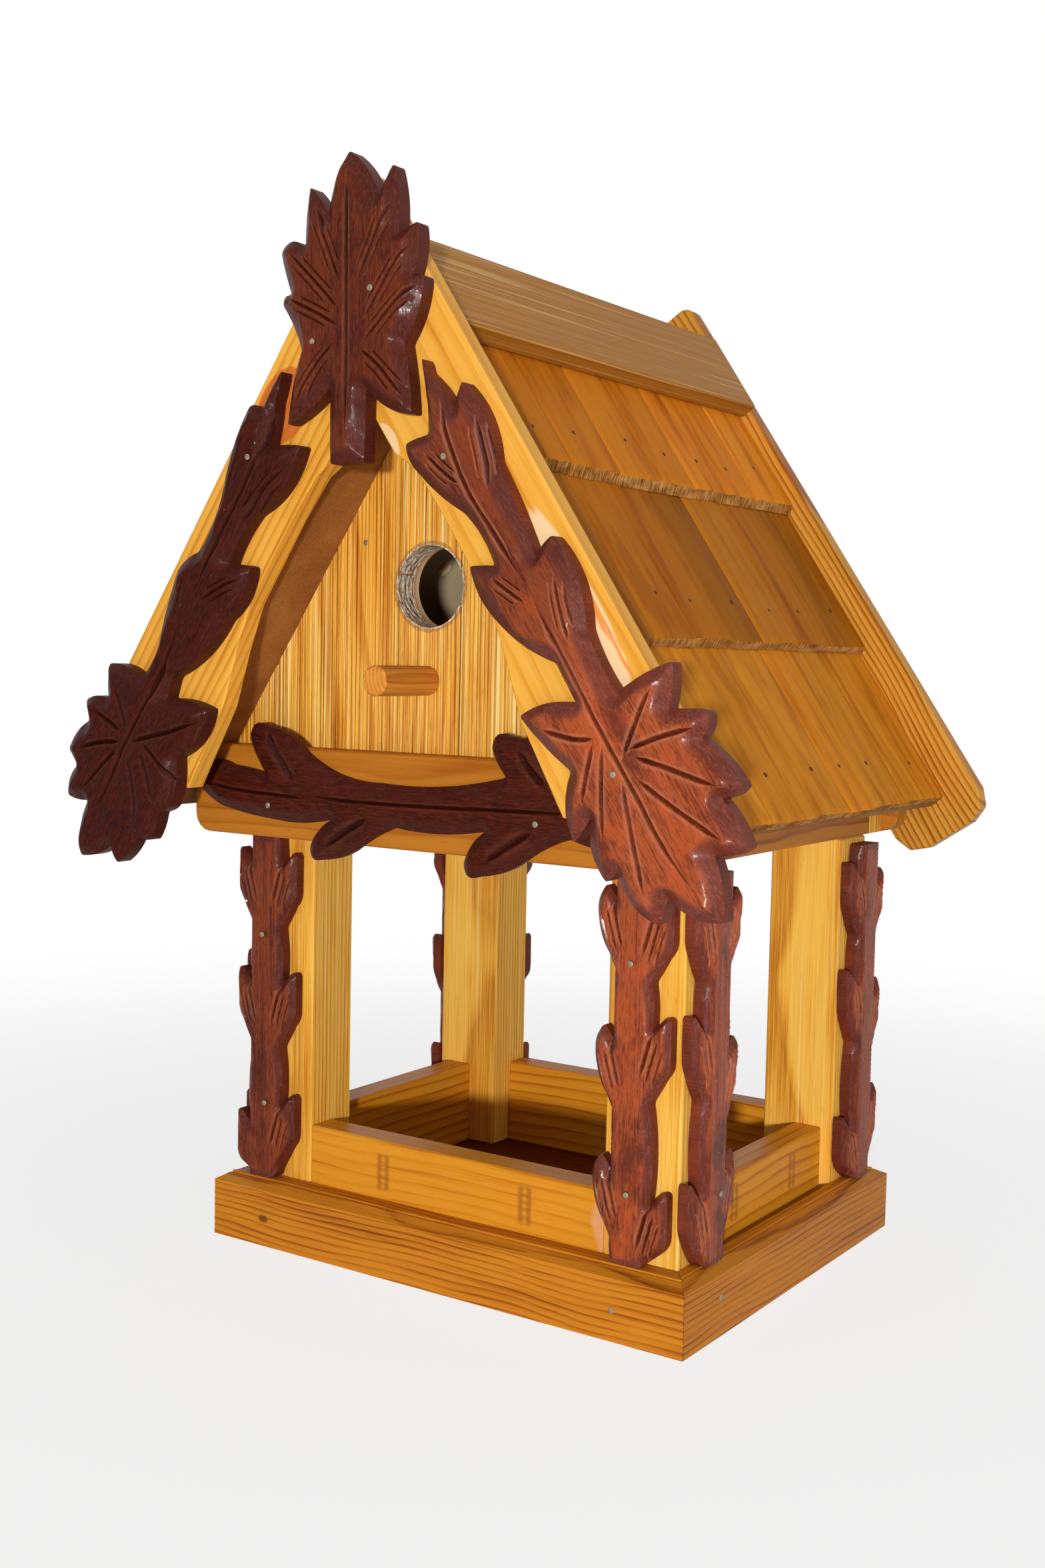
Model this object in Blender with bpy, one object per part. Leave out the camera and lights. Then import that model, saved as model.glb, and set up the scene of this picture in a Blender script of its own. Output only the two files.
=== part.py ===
"""Wooden birdhouse over a feeding tray, trimmed with carved leaves and branches.

Lengths below are millimetres and are scaled to metres where a mesh is made.
X runs to the right along the front, the front faces -Y, Z is up, and the
origin is the centre of the base's underside. Roof pieces are drawn in slope
coordinates: s is the distance down the slope from the ridge line and n the
height above the ridge boards' top face, at right angles to the slope.
"""

import math

import bmesh
import bpy
from mathutils import Matrix, Vector

MM = 0.001
GAP = 0.3  # clearance left between pieces that touch

# Base frame and tray
BASE_HALF_X = 165.0
BASE_HALF_Y = 134.8
BASE_FRONT_THICK = 18.7
BASE_SIDE_THICK = 14.4
BASE_SIDE_HEIGHT = 34.2
BASE_TOP = 39.0
BASE_CHAMFER = 7.5
BASE_QUIRK = 1.2
TRAY_FLOOR_BOTTOM = 0.0
TRAY_FLOOR_TOP = 17.7

# Posts and the rails between them
POST_WIDTH = 46.3
POST_DEPTH = 37.3
POST_OUTER_X = BASE_HALF_X - BASE_SIDE_THICK - GAP
POST_INNER_X = POST_OUTER_X - POST_WIDTH
POST_OUTER_Y = BASE_HALF_Y - BASE_FRONT_THICK - GAP
POST_INNER_Y = POST_OUTER_Y - POST_DEPTH
POST_TOP = 252.7
RAIL_THICK = 19.0
FRONT_RAIL_TOP = 74.0
SIDE_RAIL_TOP = 73.0
SIDE_RAIL_SETBACK = 6.8
SIDE_RAIL_OUTER_X = POST_OUTER_X - SIDE_RAIL_SETBACK
ARRIS = 1.0

# Nest box
NEST_BOTTOM = POST_TOP + GAP
NEST_FLOOR_THICK = 10.0
GABLE_OVERHANG = 26.2
GABLE_FRONT_Y = POST_OUTER_Y + GABLE_OVERHANG
GABLE_THICK = 14.0
LINING_THICK = 5.0
SIDE_BEAM_OUTER_X = POST_OUTER_X - GAP
SIDE_BEAM_THICK = 20.0
BEAM_OVERHANG = 10.2
BEAM_HALF_X = POST_OUTER_X + BEAM_OVERHANG
BEAM_HEIGHT = 52.5
BEAM_TOP = NEST_BOTTOM + BEAM_HEIGHT
BEAM_THICK = 16.0
BEAM_CORNER_RADIUS = 11.0
HOLE_RADIUS = 22.5
HOLE_Z = 397.0
PLANK_SEAMS = (-110.5, -66.5, -21.7, 21.0, 66.0, 110.0)
SEAM_HALF_WIDTH = 0.8
SEAM_DEPTH = 1.2
PERCH_RADIUS = 8.6
PERCH_Z = 345.5
PERCH_LENGTH = 47.7
PERCH_SIDES = 8
PERCH_ARRIS = 1.2
HOLE_SIDES = 48
CUT_MARGIN = 5.0

# Roof, in slope coordinates
SLOPE = math.radians(55.9)
RIDGE_Z = 582.7
DECK_LOW = -37.0
DECK_HIGH = -32.2
SLAT_THICK = 6.3
DECK_END = 355.0
COURSE_ENDS = (139.0, 245.6, 357.0)
RIDGE_BOARD_END = 59.0
ROOF_FRONT_OVERHANG = 44.6
ROOF_BACK_OVERHANG = 38.5
ROOF_FRONT_Y = -GABLE_FRONT_Y - ROOF_FRONT_OVERHANG
ROOF_BACK_Y = GABLE_FRONT_Y + ROOF_BACK_OVERHANG
PEG_HOLE_S = 179.5
PEG_HOLE_Y = -34.9
PEG_HOLE_RADIUS = 5.5
PEG_HOLE_SIDES = 20
SLATS_PER_COURSE = 9
SLAT_WIDTH_VARIATION = 5.0
SLAT_END_VARIATION = 1.6
SLAT_TOP_VARIATION = 0.5

# Bargeboards
FRONT_BOARD_THICK = 12.5
FRONT_BOARD_FACE_Y = ROOF_FRONT_Y - GAP - FRONT_BOARD_THICK
FRONT_BOARD_TOP_N = 14.6
FRONT_BOARD_BLUNT = 5.7
FRONT_BOARD_END = 320.0
FRONT_BOARD_ARRIS = 0.8
REAR_BOARD_FACE_Y = ROOF_BACK_Y + GAP
REAR_BOARD_THICK = 12.5
REAR_BOARD_TOP_N = -4.6
REAR_BOARD_INNER_N = -70.0
REAR_BOARD_END = 377.0
REAR_BOARD_OVERRUN = -33.6
REAR_BOARD_END_RADIUS = 16.0
REAR_BOARD_TIP_RADIUS = 7.0

# Carved trim
CARVING_THICK = 15.3
CARVING_BACK_Y = FRONT_BOARD_FACE_Y - GAP
CARVING_FACE_Y = CARVING_BACK_Y - CARVING_THICK
BEAM_BRANCH_THICK = 9.4
BEAM_BRANCH_BACK_Y = -(GABLE_FRONT_Y + GAP + BEAM_THICK + GAP)
BEAM_BRANCH_FACE_Y = BEAM_BRANCH_BACK_Y - BEAM_BRANCH_THICK
POST_BRANCH_THICK = 13.0
CARVED_EDGES = ((2.8, 3.2), (1.8, 1.0))  # inset and rise of each step of a leaf's rounding
BRANCH_EDGES = ((2.4, 2.4),)
BEAM_BRANCH_EDGES = ((2.8, 2.4), (2.2, 0.8))
ARC_STEPS = 3
NARROW_SHARE = 0.22  # most of a narrow place's width that a rounded edge takes
NARROW_PASSES = 12

# Wavy inner edge of a front bargeboard, as (s, n) from the eave end to the apex
FRONT_BOARD_INNER = (
    (FRONT_BOARD_END, -64.5),
    (266.0, -60.0),
    (235.0, -50.7),
    (208.0, -44.5),
    (154.0, -44.0),
    (126.0, -45.5),
    (110.0, -52.0),
    (88.0, -52.5),
)

# Carved outlines run clockwise seen from the front. Each point ends with a bulge, the
# outward sagitta of the arc to the next point over its chord. The crown leaf is drawn as
# (x, height over the ridge line), the side leaves as (s, n) along their bargeboards and
# the beam's branch as (x, height over the beam's lower edge).
CROWN_OUTLINE = (
    (-16.0, -125.7, 0.0),
    (-16.5, -86.4, 0.05),
    (-45.0, -104.2, 0.04),
    (-36.0, -65.7, -0.04),
    (-49.5, -41.4, 0.3),
    (-43.3, -36.9, 0.02),
    (-51.0, -14.2, 0.3),
    (-34.4, -14.4, 0.02),
    (-31.4, 17.0, 0.06),
    (-18.1, -0.6, 0.1),
    (-5.2, 31.6, 0.08),
    (14.4, 6.5, 0.05),
    (23.3, 21.2, 0.06),
    (26.8, -13.6, 0.02),
    (39.1, -8.9, 0.08),
    (36.7, -33.9, 0.05),
    (43.3, -35.9, 0.08),
    (31.7, -67.4, 0.02),
    (37.0, -103.2, 0.1),
    (7.6, -88.2, 0.0),
    (6.6, -125.5, 0.0),
)
LEFT_LEAF_OUTLINE = (
    (90.2, -1.0, 0.03),
    (106.2, -6.0, 0.03),
    (127.9, -15.3, 0.03),
    (115.5, -34.5, 0.12),
    (162.3, -27.8, -0.05),
    (194.8, -27.2, 0.05),
    (187.2, -40.4, 0.12),
    (221.1, -41.6, 0.08),
    (269.5, -26.4, 0.0),
    (282.0, -29.9, 0.06),
    (268.6, -58.9, 0.14),
    (305.1, -54.1, 0.08),
    (330.3, -66.1, 0.08),
    (338.9, -60.8, 0.06),
    (356.3, -64.2, 0.08),
    (360.3, -54.9, 0.08),
    (383.3, -51.4, 0.12),
    (378.5, -41.3, 0.08),
    (399.0, -24.3, 0.1),
    (368.6, -10.9, 0.06),
    (376.5, 4.4, 0.12),
    (357.0, 7.9, 0.0),
    (353.4, 18.8, 0.1),
    (329.7, 14.3, 0.02),
    (321.0, 23.0, 0.12),
    (309.7, 8.2, 0.05),
    (292.3, 19.0, 0.1),
    (284.5, -6.7, -0.06),
    (261.2, -7.6, 0.02),
    (220.1, 3.3, 0.1),
    (201.5, -4.3, -0.06),
    (157.2, 2.1, 0.04),
    (117.4, 8.5, 0.2),
    (114.7, -0.9, 0.04),
)
RIGHT_LEAF_OUTLINE = (
    (86.7, -7.3, 0.1),
    (93.9, -8.6, 0.05),
    (120.1, -4.8, 0.05),
    (111.7, 6.3, 0.1),
    (156.0, 1.1, 0.02),
    (209.2, -5.1, 0.08),
    (205.2, 8.7, 0.1),
    (253.3, 0.7, -0.04),
    (287.8, -1.0, 0.05),
    (291.3, 31.1, 0.06),
    (309.0, 17.5, 0.05),
    (320.5, 34.3, 0.15),
    (328.9, 24.8, 0.06),
    (358.4, 31.9, 0.12),
    (357.2, 19.2, 0.06),
    (383.1, 19.3, 0.12),
    (376.7, 2.5, 0.06),
    (405.8, -9.8, 0.12),
    (381.7, -29.2, 0.05),
    (390.6, -40.2, 0.14),
    (358.6, -46.2, 0.02),
    (359.8, -54.4, 0.12),
    (329.4, -45.0, 0.04),
    (335.0, -59.9, 0.12),
    (305.6, -42.8, 0.03),
    (267.8, -53.8, 0.1),
    (280.0, -23.1, 0.0),
    (257.4, -22.4, 0.06),
    (220.9, -40.3, 0.08),
    (190.1, -39.1, 0.02),
    (198.5, -26.5, -0.06),
    (166.3, -27.6, 0.04),
    (132.4, -39.9, 0.1),
    (116.2, -38.7, 0.03),
    (121.1, -24.4, 0.0),
    (109.9, -17.4, 0.0),
)
BEAM_BRANCH_OUTLINE = (
    (-156.0, 30.6, 0.2),
    (-139.7, 43.5, 0.06),
    (-126.9, 40.7, 0.02),
    (-99.9, 36.9, 0.05),
    (-112.7, 57.7, 0.35),
    (-99.3, 64.1, 0.1),
    (-70.1, 50.3, -0.08),
    (-17.9, 36.1, -0.04),
    (67.0, 43.7, 0.05),
    (57.7, 58.7, 0.35),
    (69.3, 65.2, 0.12),
    (95.9, 50.3, -0.04),
    (126.3, 43.2, 0.12),
    (145.6, 30.0, 0.3),
    (141.9, 14.5, 0.1),
    (107.6, 14.5, -0.05),
    (77.7, -0.3, 0.06),
    (51.1, -9.4, 0.35),
    (40.6, -3.6, 0.1),
    (54.1, 14.5, 0.04),
    (-5.7, 12.5, -0.04),
    (-33.6, -2.3, 0.06),
    (-57.5, -9.3, 0.35),
    (-66.5, -2.6, 0.1),
    (-49.7, 14.3, 0.05),
    (-90.6, 11.0, 0.02),
    (-133.8, 16.5, 0.06),
)

# Veins run from their first point, where the gouge cut is widest, to their second
CROWN_VEINS = (
    (3.0, -120.7, -1.0, 11.3),
    (7.0, -44.7, 18.0, -7.7),
    (13.0, -52.7, 27.0, -4.7),
    (12.0, -62.7, 33.0, -26.7),
    (12.0, -72.7, 41.0, -39.7),
    (14.0, -81.7, 46.0, -52.7),
    (9.0, -89.7, 38.0, -99.7),
    (-5.0, -54.7, -20.0, -10.7),
    (-8.0, -62.7, -36.0, -24.7),
    (-9.0, -71.7, -35.0, -48.7),
    (-11.0, -79.7, -34.0, -100.7),
)
LEFT_LEAF_VEINS = (
    (282.2, -19.6, 114.7, -17.3),
    (190.8, -8.4, 130.4, -1.3),
    (172.4, -24.9, 124.6, -38.4),
    (208.4, -25.2, 189.1, -48.3),
    (234.6, -11.5, 210.2, -4.7),
    (310.2, -30.1, 271.1, -62.8),
    (318.0, -35.4, 318.5, -69.5),
    (325.4, -34.3, 344.6, -66.6),
    (331.8, -30.2, 374.1, -55.2),
    (332.8, -24.3, 382.0, -29.2),
    (329.5, -16.6, 361.7, -5.7),
    (323.1, -11.0, 342.3, 8.5),
    (315.9, -9.2, 317.7, 9.5),
    (308.6, -10.9, 293.0, 6.9),
)
RIGHT_LEAF_VEINS = (
    (296.1, -16.9, 112.6, -6.2),
    (172.0, -0.5, 127.1, 8.1),
    (164.9, -16.3, 131.3, -28.5),
    (250.7, -5.5, 217.0, 8.9),
    (234.2, -20.9, 203.9, -31.8),
    (308.5, 1.3, 298.7, 29.6),
    (318.4, 1.8, 325.0, 31.1),
    (326.9, -2.7, 357.5, 30.9),
    (333.1, -10.5, 377.7, 19.7),
    (334.0, -19.0, 395.5, -5.7),
    (330.2, -24.6, 387.0, -32.6),
    (324.3, -28.8, 354.2, -45.4),
    (314.9, -32.0, 329.2, -46.6),
    (304.5, -28.6, 278.7, -42.6),
)
BEAM_BRANCH_VEINS = (
    (-92.0, 26.0, -146.0, 31.0),
    (-84.0, 26.0, 132.0, 28.0),
    (-78.0, 39.0, -100.0, 58.0),
    (-34.0, 13.0, -55.0, -2.0),
    (72.0, 13.0, 52.0, -2.0),
    (88.0, 47.0, 70.0, 60.0),
)
VEIN_HALF_WIDTH = 1.7
VEIN_DEPTH = 1.9
VEIN_TIP_SHARE = 0.35
VEIN_OVERCUT = 1.0

# Post branches: a stem with upswept lobes
BRANCH_STEM = 12.0
BRANCH_REACH = 23.2
SIDE_BRANCH_STEM = 11.8
SIDE_BRANCH_REACH = 24.3
BRANCH_FOOT = 10.0
BRANCH_FOOT_Z = BASE_TOP + GAP
BRANCH_HEADROOM = 3.7
BRANCH_TOP_Z = POST_TOP - BRANCH_HEADROOM
LOBE_RISE = 48.0
LOBE_BLADE = 20.0
LOBE_TIP_DROP = 12.0
LOBE_TIP_EASE = 2.5
LOBE_EASE_SHARE = 0.97
LOBE_TIP_SHARE = 0.84
LOBE_ROOT_MARGIN = 4.0
STEM_RIB_RISE = 3.0
STEM_RIB_CHAMFER = 3.6
STEM_RIB_SINK = 6.0

# Lobe-tip heights over the branch's foot, left side then right side
FACE_LOBES = {
    "front_left": ((38.7, 127.7, 201.7), (52.7, 127.7, 200.7)),
    "front_right": ((56.7, 126.7, 201.7), (41.7, 134.7, 198.7)),
    "back_left": ((46.7, 129.7, 201.7), (44.7, 123.7, 199.7)),
    "back_right": ((44.7, 125.7, 198.7), (46.7, 129.7, 201.7)),
}
SIDE_LOBES = {
    "front_left": ((49.2, 137.2, 200.2), (51.2, 131.2, 198.2)),
    "front_right": ((47.2, 136.2, 199.2), (57.2, 119.2, 200.2)),
    "back_left": ((45.2, 123.2, 197.2), (49.2, 135.2, 200.2)),
    "back_right": ((41.2, 133.2, 199.7), (55.2, 123.2, 193.2)),
}

# How far each corner's two branches stand off the middle of the post: the one on the
# front or back face along X, and the one on the side face along Y
BRANCH_SHIFTS = {
    "front_left": (-7.4, 5.9),
    "front_right": (-3.6, 3.3),
    "back_left": (0.0, 3.0),
    "back_right": (0.0, 6.0),
}


def principled(name, colour, roughness):
    material = bpy.data.materials.new(name)
    material.use_nodes = True
    shader = material.node_tree.nodes["Principled BSDF"]
    shader.inputs["Base Color"].default_value = (*colour, 1.0)
    shader.inputs["Roughness"].default_value = roughness
    shader.inputs["Metallic"].default_value = 0.0
    material.diffuse_color = (*colour, 1.0)
    return material


def add_object(name, bm, material):
    bmesh.ops.recalc_face_normals(bm, faces=bm.faces)
    mesh = bpy.data.meshes.new(name)
    bm.to_mesh(mesh)
    bm.free()
    mesh.materials.append(material)
    obj = bpy.data.objects.new(name, mesh)
    bpy.context.scene.collection.objects.link(obj)
    return obj


def ease_edges(obj, width, segments=1):
    """A narrow bevel on every sharp edge, as a board's sanded arris."""
    bevel = obj.modifiers.new("Arris", "BEVEL")
    bevel.width = width * MM
    bevel.segments = segments
    bevel.limit_method = "ANGLE"
    bevel.angle_limit = math.radians(35.0)


def loft(name, first, last, material):
    """A closed body between two rings of points with equal counts."""
    bm = bmesh.new()
    start = [bm.verts.new(Vector(point) * MM) for point in first]
    end = [bm.verts.new(Vector(point) * MM) for point in last]
    count = len(start)
    bm.faces.new(start)
    bm.faces.new(end)
    for i in range(count):
        j = (i + 1) % count
        bm.faces.new((start[i], start[j], end[j], end[i]))
    return add_object(name, bm, material)


def place(axis, u, v, along):
    """The point at (u, v) on an outline drawn square to the axis."""
    if axis == "X":
        return (along, u, v)
    if axis == "Y":
        return (u, along, v)
    return (u, v, along)


def prism(name, outline, axis, low, high, material, arris=ARRIS):
    first = [place(axis, u, v, low) for u, v in outline]
    last = [place(axis, u, v, high) for u, v in outline]
    obj = loft(name, first, last, material)
    if arris:
        ease_edges(obj, arris)
    return obj


def box(name, x0, x1, y0, y1, z0, z1, material, arris=ARRIS):
    outline = ((x0, z0), (x1, z0), (x1, z1), (x0, z1))
    return prism(name, outline, "Y", y0, y1, material, arris)


def subtract(obj, cutter, name):
    cutter.hide_render = True
    cutter.display_type = "WIRE"
    cutter.parent = obj
    cut = obj.modifiers.new(name, "BOOLEAN")
    cut.operation = "DIFFERENCE"
    cut.solver = "EXACT"
    cut.object = cutter


def with_arcs(points):
    """The outline with each bulged side turned into a short run of chords."""
    outline = []
    for i, (u, v, bulge) in enumerate(points):
        outline.append((u, v))
        if abs(bulge) < 0.001:
            continue
        next_u, next_v, _ = points[(i + 1) % len(points)]
        run_u = next_u - u
        run_v = next_v - v
        for step in range(1, ARC_STEPS):
            t = step / ARC_STEPS
            lift = 4.0 * bulge * t * (1.0 - t)
            outline.append((u + run_u * t - run_v * lift, v + run_v * t + run_u * lift))
    return outline


def on_slope(side, s, n):
    """(x, z) of a point in the slope coordinates of the left (-1) or right (1) side."""
    x = s * math.cos(SLOPE) + n * math.sin(SLOPE)
    z = RIDGE_Z - s * math.sin(SLOPE) + n * math.cos(SLOPE)
    return side * x, z


def ridge_end(n):
    """s where a layer at height n is mitred against the other side's."""
    return (GAP / 2.0 - n * math.sin(SLOPE)) / math.cos(SLOPE)


def build_base(wood, floor_wood):
    """Four mitred mouldings round the tray, and its floor panel."""
    side_thick = BASE_SIDE_THICK
    front_thick = BASE_FRONT_THICK
    groove_z = BASE_TOP - BASE_QUIRK
    for name, axis, sign, thick, other, half_out, half_along in (
        ("base_front", "X", -1, front_thick, side_thick, BASE_HALF_Y, BASE_HALF_X),
        ("base_back", "X", 1, front_thick, side_thick, BASE_HALF_Y, BASE_HALF_X),
        ("base_left", "Y", -1, side_thick, front_thick, BASE_HALF_X, BASE_HALF_Y),
        ("base_right", "Y", 1, side_thick, front_thick, BASE_HALF_X, BASE_HALF_Y),
    ):
        profile = (
            (0.0, 0.0),
            (0.0, BASE_SIDE_HEIGHT),
            (BASE_CHAMFER, groove_z),
            (BASE_CHAMFER + BASE_QUIRK, groove_z),
            (BASE_CHAMFER + BASE_QUIRK, BASE_TOP),
            (thick, BASE_TOP),
            (thick, 0.0),
        )
        rings = ([], [])
        for inset, z in profile:
            across = sign * (half_out - inset)
            reach = half_along - inset * other / thick - GAP / 2.0
            for ring, end in zip(rings, (-reach, reach)):
                point = (end, across, z) if axis == "X" else (across, end, z)
                ring.append(point)
        loft(name, rings[0], rings[1], wood)
    box(
        "tray_floor",
        -POST_OUTER_X,
        POST_OUTER_X,
        -POST_OUTER_Y,
        POST_OUTER_Y,
        TRAY_FLOOR_BOTTOM,
        TRAY_FLOOR_TOP,
        floor_wood,
        0.0,
    )


def build_rails(wood):
    foot = TRAY_FLOOR_TOP + GAP
    along_x = POST_INNER_X - GAP
    along_y = POST_INNER_Y - GAP
    for name, sign, top in (
        ("rail_front", -1, FRONT_RAIL_TOP),
        ("rail_back", 1, FRONT_RAIL_TOP),
    ):
        outer = sign * POST_OUTER_Y
        inner = sign * (POST_OUTER_Y - RAIL_THICK)
        low, high = sorted((outer, inner))
        box(name, -along_x, along_x, low, high, foot, top, wood)
    for name, sign in (("rail_left", -1), ("rail_right", 1)):
        outer = sign * SIDE_RAIL_OUTER_X
        inner = sign * (SIDE_RAIL_OUTER_X - RAIL_THICK)
        low, high = sorted((outer, inner))
        box(name, low, high, -along_y, along_y, foot, SIDE_RAIL_TOP, wood)


def branch_outline(left_tips, right_tips, stem, reach):
    """Clockwise outline of one branch, with lobe tips given over its foot, lowest first."""

    def lobes(tips, side):
        run = []
        for tip_height in tips:
            tip = BRANCH_FOOT_Z + tip_height
            root = max(tip - LOBE_RISE, BRANCH_FOOT_Z + LOBE_ROOT_MARGIN)
            run.append((side * stem, root, 0.03))
            run.append((side * reach, tip - LOBE_BLADE, 0.02))
            run.append((side * reach * LOBE_EASE_SHARE, tip - LOBE_TIP_EASE, 0.1))
            run.append((side * reach * LOBE_TIP_SHARE, tip, 0.0))
            run.append((side * stem, tip - LOBE_TIP_DROP, 0.0))
        return run

    foot = BRANCH_FOOT_Z
    outline = [(-BRANCH_FOOT, foot, 0.0)]
    outline.extend(lobes(left_tips, -1))
    outline.append((-stem, BRANCH_TOP_Z, 0.0))
    outline.append((stem, BRANCH_TOP_Z, 0.0))
    outline.extend((u, v, 0.0) for u, v, _ in reversed(lobes(right_tips, 1)))
    outline.append((BRANCH_FOOT, foot, 0.0))
    return with_arcs(outline)


def build_posts(pine, carved):
    """Four square posts, each with a carved branch on its two outer faces."""
    post_mid_x = (POST_INNER_X + POST_OUTER_X) / 2.0
    post_mid_y = (POST_INNER_Y + POST_OUTER_Y) / 2.0
    for row, y_sign in (("front", -1), ("back", 1)):
        for column, x_sign in (("left", -1), ("right", 1)):
            key = f"{row}_{column}"
            x_low, x_high = sorted((x_sign * POST_INNER_X, x_sign * POST_OUTER_X))
            y_low, y_high = sorted((y_sign * POST_INNER_Y, y_sign * POST_OUTER_Y))
            foot = TRAY_FLOOR_TOP + GAP
            box(f"post_{key}", x_low, x_high, y_low, y_high, foot, POST_TOP, pine)

            outline = branch_outline(*FACE_LOBES[key], BRANCH_STEM, BRANCH_REACH)
            back = y_sign * (POST_OUTER_Y + GAP)
            name = f"branch_{row}_face_{column}"
            middle = x_sign * post_mid_x + BRANCH_SHIFTS[key][0]
            build_branch(name, outline, "Y", middle, back, y_sign, BRANCH_STEM, carved)

            outline = branch_outline(*SIDE_LOBES[key], SIDE_BRANCH_STEM, SIDE_BRANCH_REACH)
            back = x_sign * (POST_OUTER_X + GAP)
            name = f"branch_{column}_side_{row}"
            middle = y_sign * post_mid_y + BRANCH_SHIFTS[key][1]
            build_branch(name, outline, "X", middle, back, x_sign, SIDE_BRANCH_STEM, carved)


def build_branch(name, outline, axis, middle, back, outward, stem, material):
    """A lobed blank with a raised, chamfered stem rib joined to its face."""
    lobe_face = back + outward * (POST_BRANCH_THICK - STEM_RIB_RISE)
    points = [(middle + u, v) for u, v in outline]
    blank = relief(name, points, axis, back, lobe_face, BRANCH_EDGES, material)

    half = stem - 1.0
    crest = back + outward * POST_BRANCH_THICK
    sunk = lobe_face - outward * STEM_RIB_SINK
    shoulder = crest - outward * STEM_RIB_CHAMFER
    section = (
        (-half, sunk),
        (half, sunk),
        (half, shoulder),
        (half - STEM_RIB_CHAMFER, crest),
        (STEM_RIB_CHAMFER - half, crest),
        (-half, shoulder),
    )
    rings = ([], [])
    ends = (BRANCH_FOOT_Z + LOBE_ROOT_MARGIN, BRANCH_TOP_Z - 1.0)
    for ring, z in zip(rings, ends):
        share = BRANCH_FOOT / half if z == ends[0] and BRANCH_FOOT < half else 1.0
        for u, depth in section:
            ring.append(place(axis, middle + u * share, z, depth))
    rib = loft(f"{name}_rib", rings[0], rings[1], material)
    rib.hide_render = True
    rib.display_type = "WIRE"
    rib.parent = blank
    join = blank.modifiers.new("Stem rib", "BOOLEAN")
    join.operation = "UNION"
    join.solver = "EXACT"
    join.object = rib


def room_inward(outline, start, normal):
    """Distance from a point of a clockwise outline to the far side along its inward normal."""
    nearest = math.inf
    for i, here in enumerate(outline):
        there = outline[(i + 1) % len(outline)]
        run = there - here
        turn = normal.x * run.y - normal.y * run.x
        if abs(turn) < 1e-9:
            continue
        offset = here - start
        distance = (offset.x * run.y - offset.y * run.x) / turn
        along = (offset.x * normal.y - offset.y * normal.x) / turn
        if distance > 0.01 and 0.0 <= along <= 1.0:
            nearest = min(nearest, distance)
    return nearest


def drawn_in(outline, inset):
    """The clockwise outline moved inwards, by less where it is narrow or turns tightly."""
    count = len(outline)
    normals = []
    for i in range(count):
        before = (outline[i] - outline[i - 1]).normalized()
        after = (outline[(i + 1) % count] - outline[i]).normalized()
        run = before + after
        if run.length < 0.2:
            run = after
        normals.append(Vector((run.y, -run.x)).normalized())
    depths = [
        min(inset, NARROW_SHARE * room_inward(outline, outline[i], normals[i]))
        for i in range(count)
    ]
    for _ in range(NARROW_PASSES):
        inner = [outline[i] + normals[i] * depths[i] for i in range(count)]
        tight = set()
        for i in range(count):
            j = (i + 1) % count
            edge = outline[j] - outline[i]
            if (inner[j] - inner[i]).dot(edge) < 0.15 * edge.length_squared:
                tight.update((i, j))
        if not tight:
            break
        for i in tight:
            depths[i] *= 0.7
    return inner


def relief(name, outline, axis, back, face, edges, material):
    """A carved blank: the outline extruded, its face edge worked down all round in steps."""
    outward = math.copysign(1.0, face - back)
    level = face - outward * sum(rise for _, rise in edges)
    flat = [Vector(point) for point in outline]
    layers = [(flat, back), (flat, level)]
    for inset, rise in edges:
        flat = drawn_in(flat, inset)
        level += outward * rise
        layers.append((flat, level))
    bm = bmesh.new()
    rings = []
    for points, depth in layers:
        ring = [bm.verts.new(Vector(place(axis, *point, depth)) * MM) for point in points]
        rings.append(ring)
    bm.faces.new(rings[0])
    bm.faces.new(rings[-1])
    for low, high in zip(rings, rings[1:]):
        for i in range(len(low)):
            j = (i + 1) % len(low)
            bm.faces.new((low[i], low[j], high[j], high[i]))
    return add_object(name, bm, material)


def vein_cutter(name, strokes, face, material):
    """V-shaped gouge cuts into a face that looks to -Y, each tapering to its tip."""
    bm = bmesh.new()
    for x0, z0, x1, z1 in strokes:
        along = Vector((x1 - x0, 0.0, z1 - z0)).normalized()
        across = Vector((-along.z, 0.0, along.x))
        rings = []
        for x, z, share in ((x0, z0, 1.0), (x1, z1, VEIN_TIP_SHARE)):
            depth = VEIN_DEPTH * share
            half = VEIN_HALF_WIDTH * share * (depth + VEIN_OVERCUT) / depth
            middle = Vector((x, face, z))
            mouth = middle - Vector((0.0, VEIN_OVERCUT, 0.0))
            bottom = middle + Vector((0.0, depth, 0.0))
            corners = (mouth - across * half, mouth + across * half, bottom)
            rings.append([bm.verts.new(corner * MM) for corner in corners])
        start, end = rings
        bm.faces.new(start)
        bm.faces.new(end)
        for i in range(3):
            j = (i + 1) % 3
            bm.faces.new((start[i], start[j], end[j], end[i]))
    return add_object(name, bm, material)


def from_ridge(x, height):
    return x, RIDGE_Z + height


def from_beam(x, height):
    return x, NEST_BOTTOM + height


def on_left_slope(s, n):
    return on_slope(-1, s, n)


def on_right_slope(s, n):
    return on_slope(1, s, n)


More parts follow.
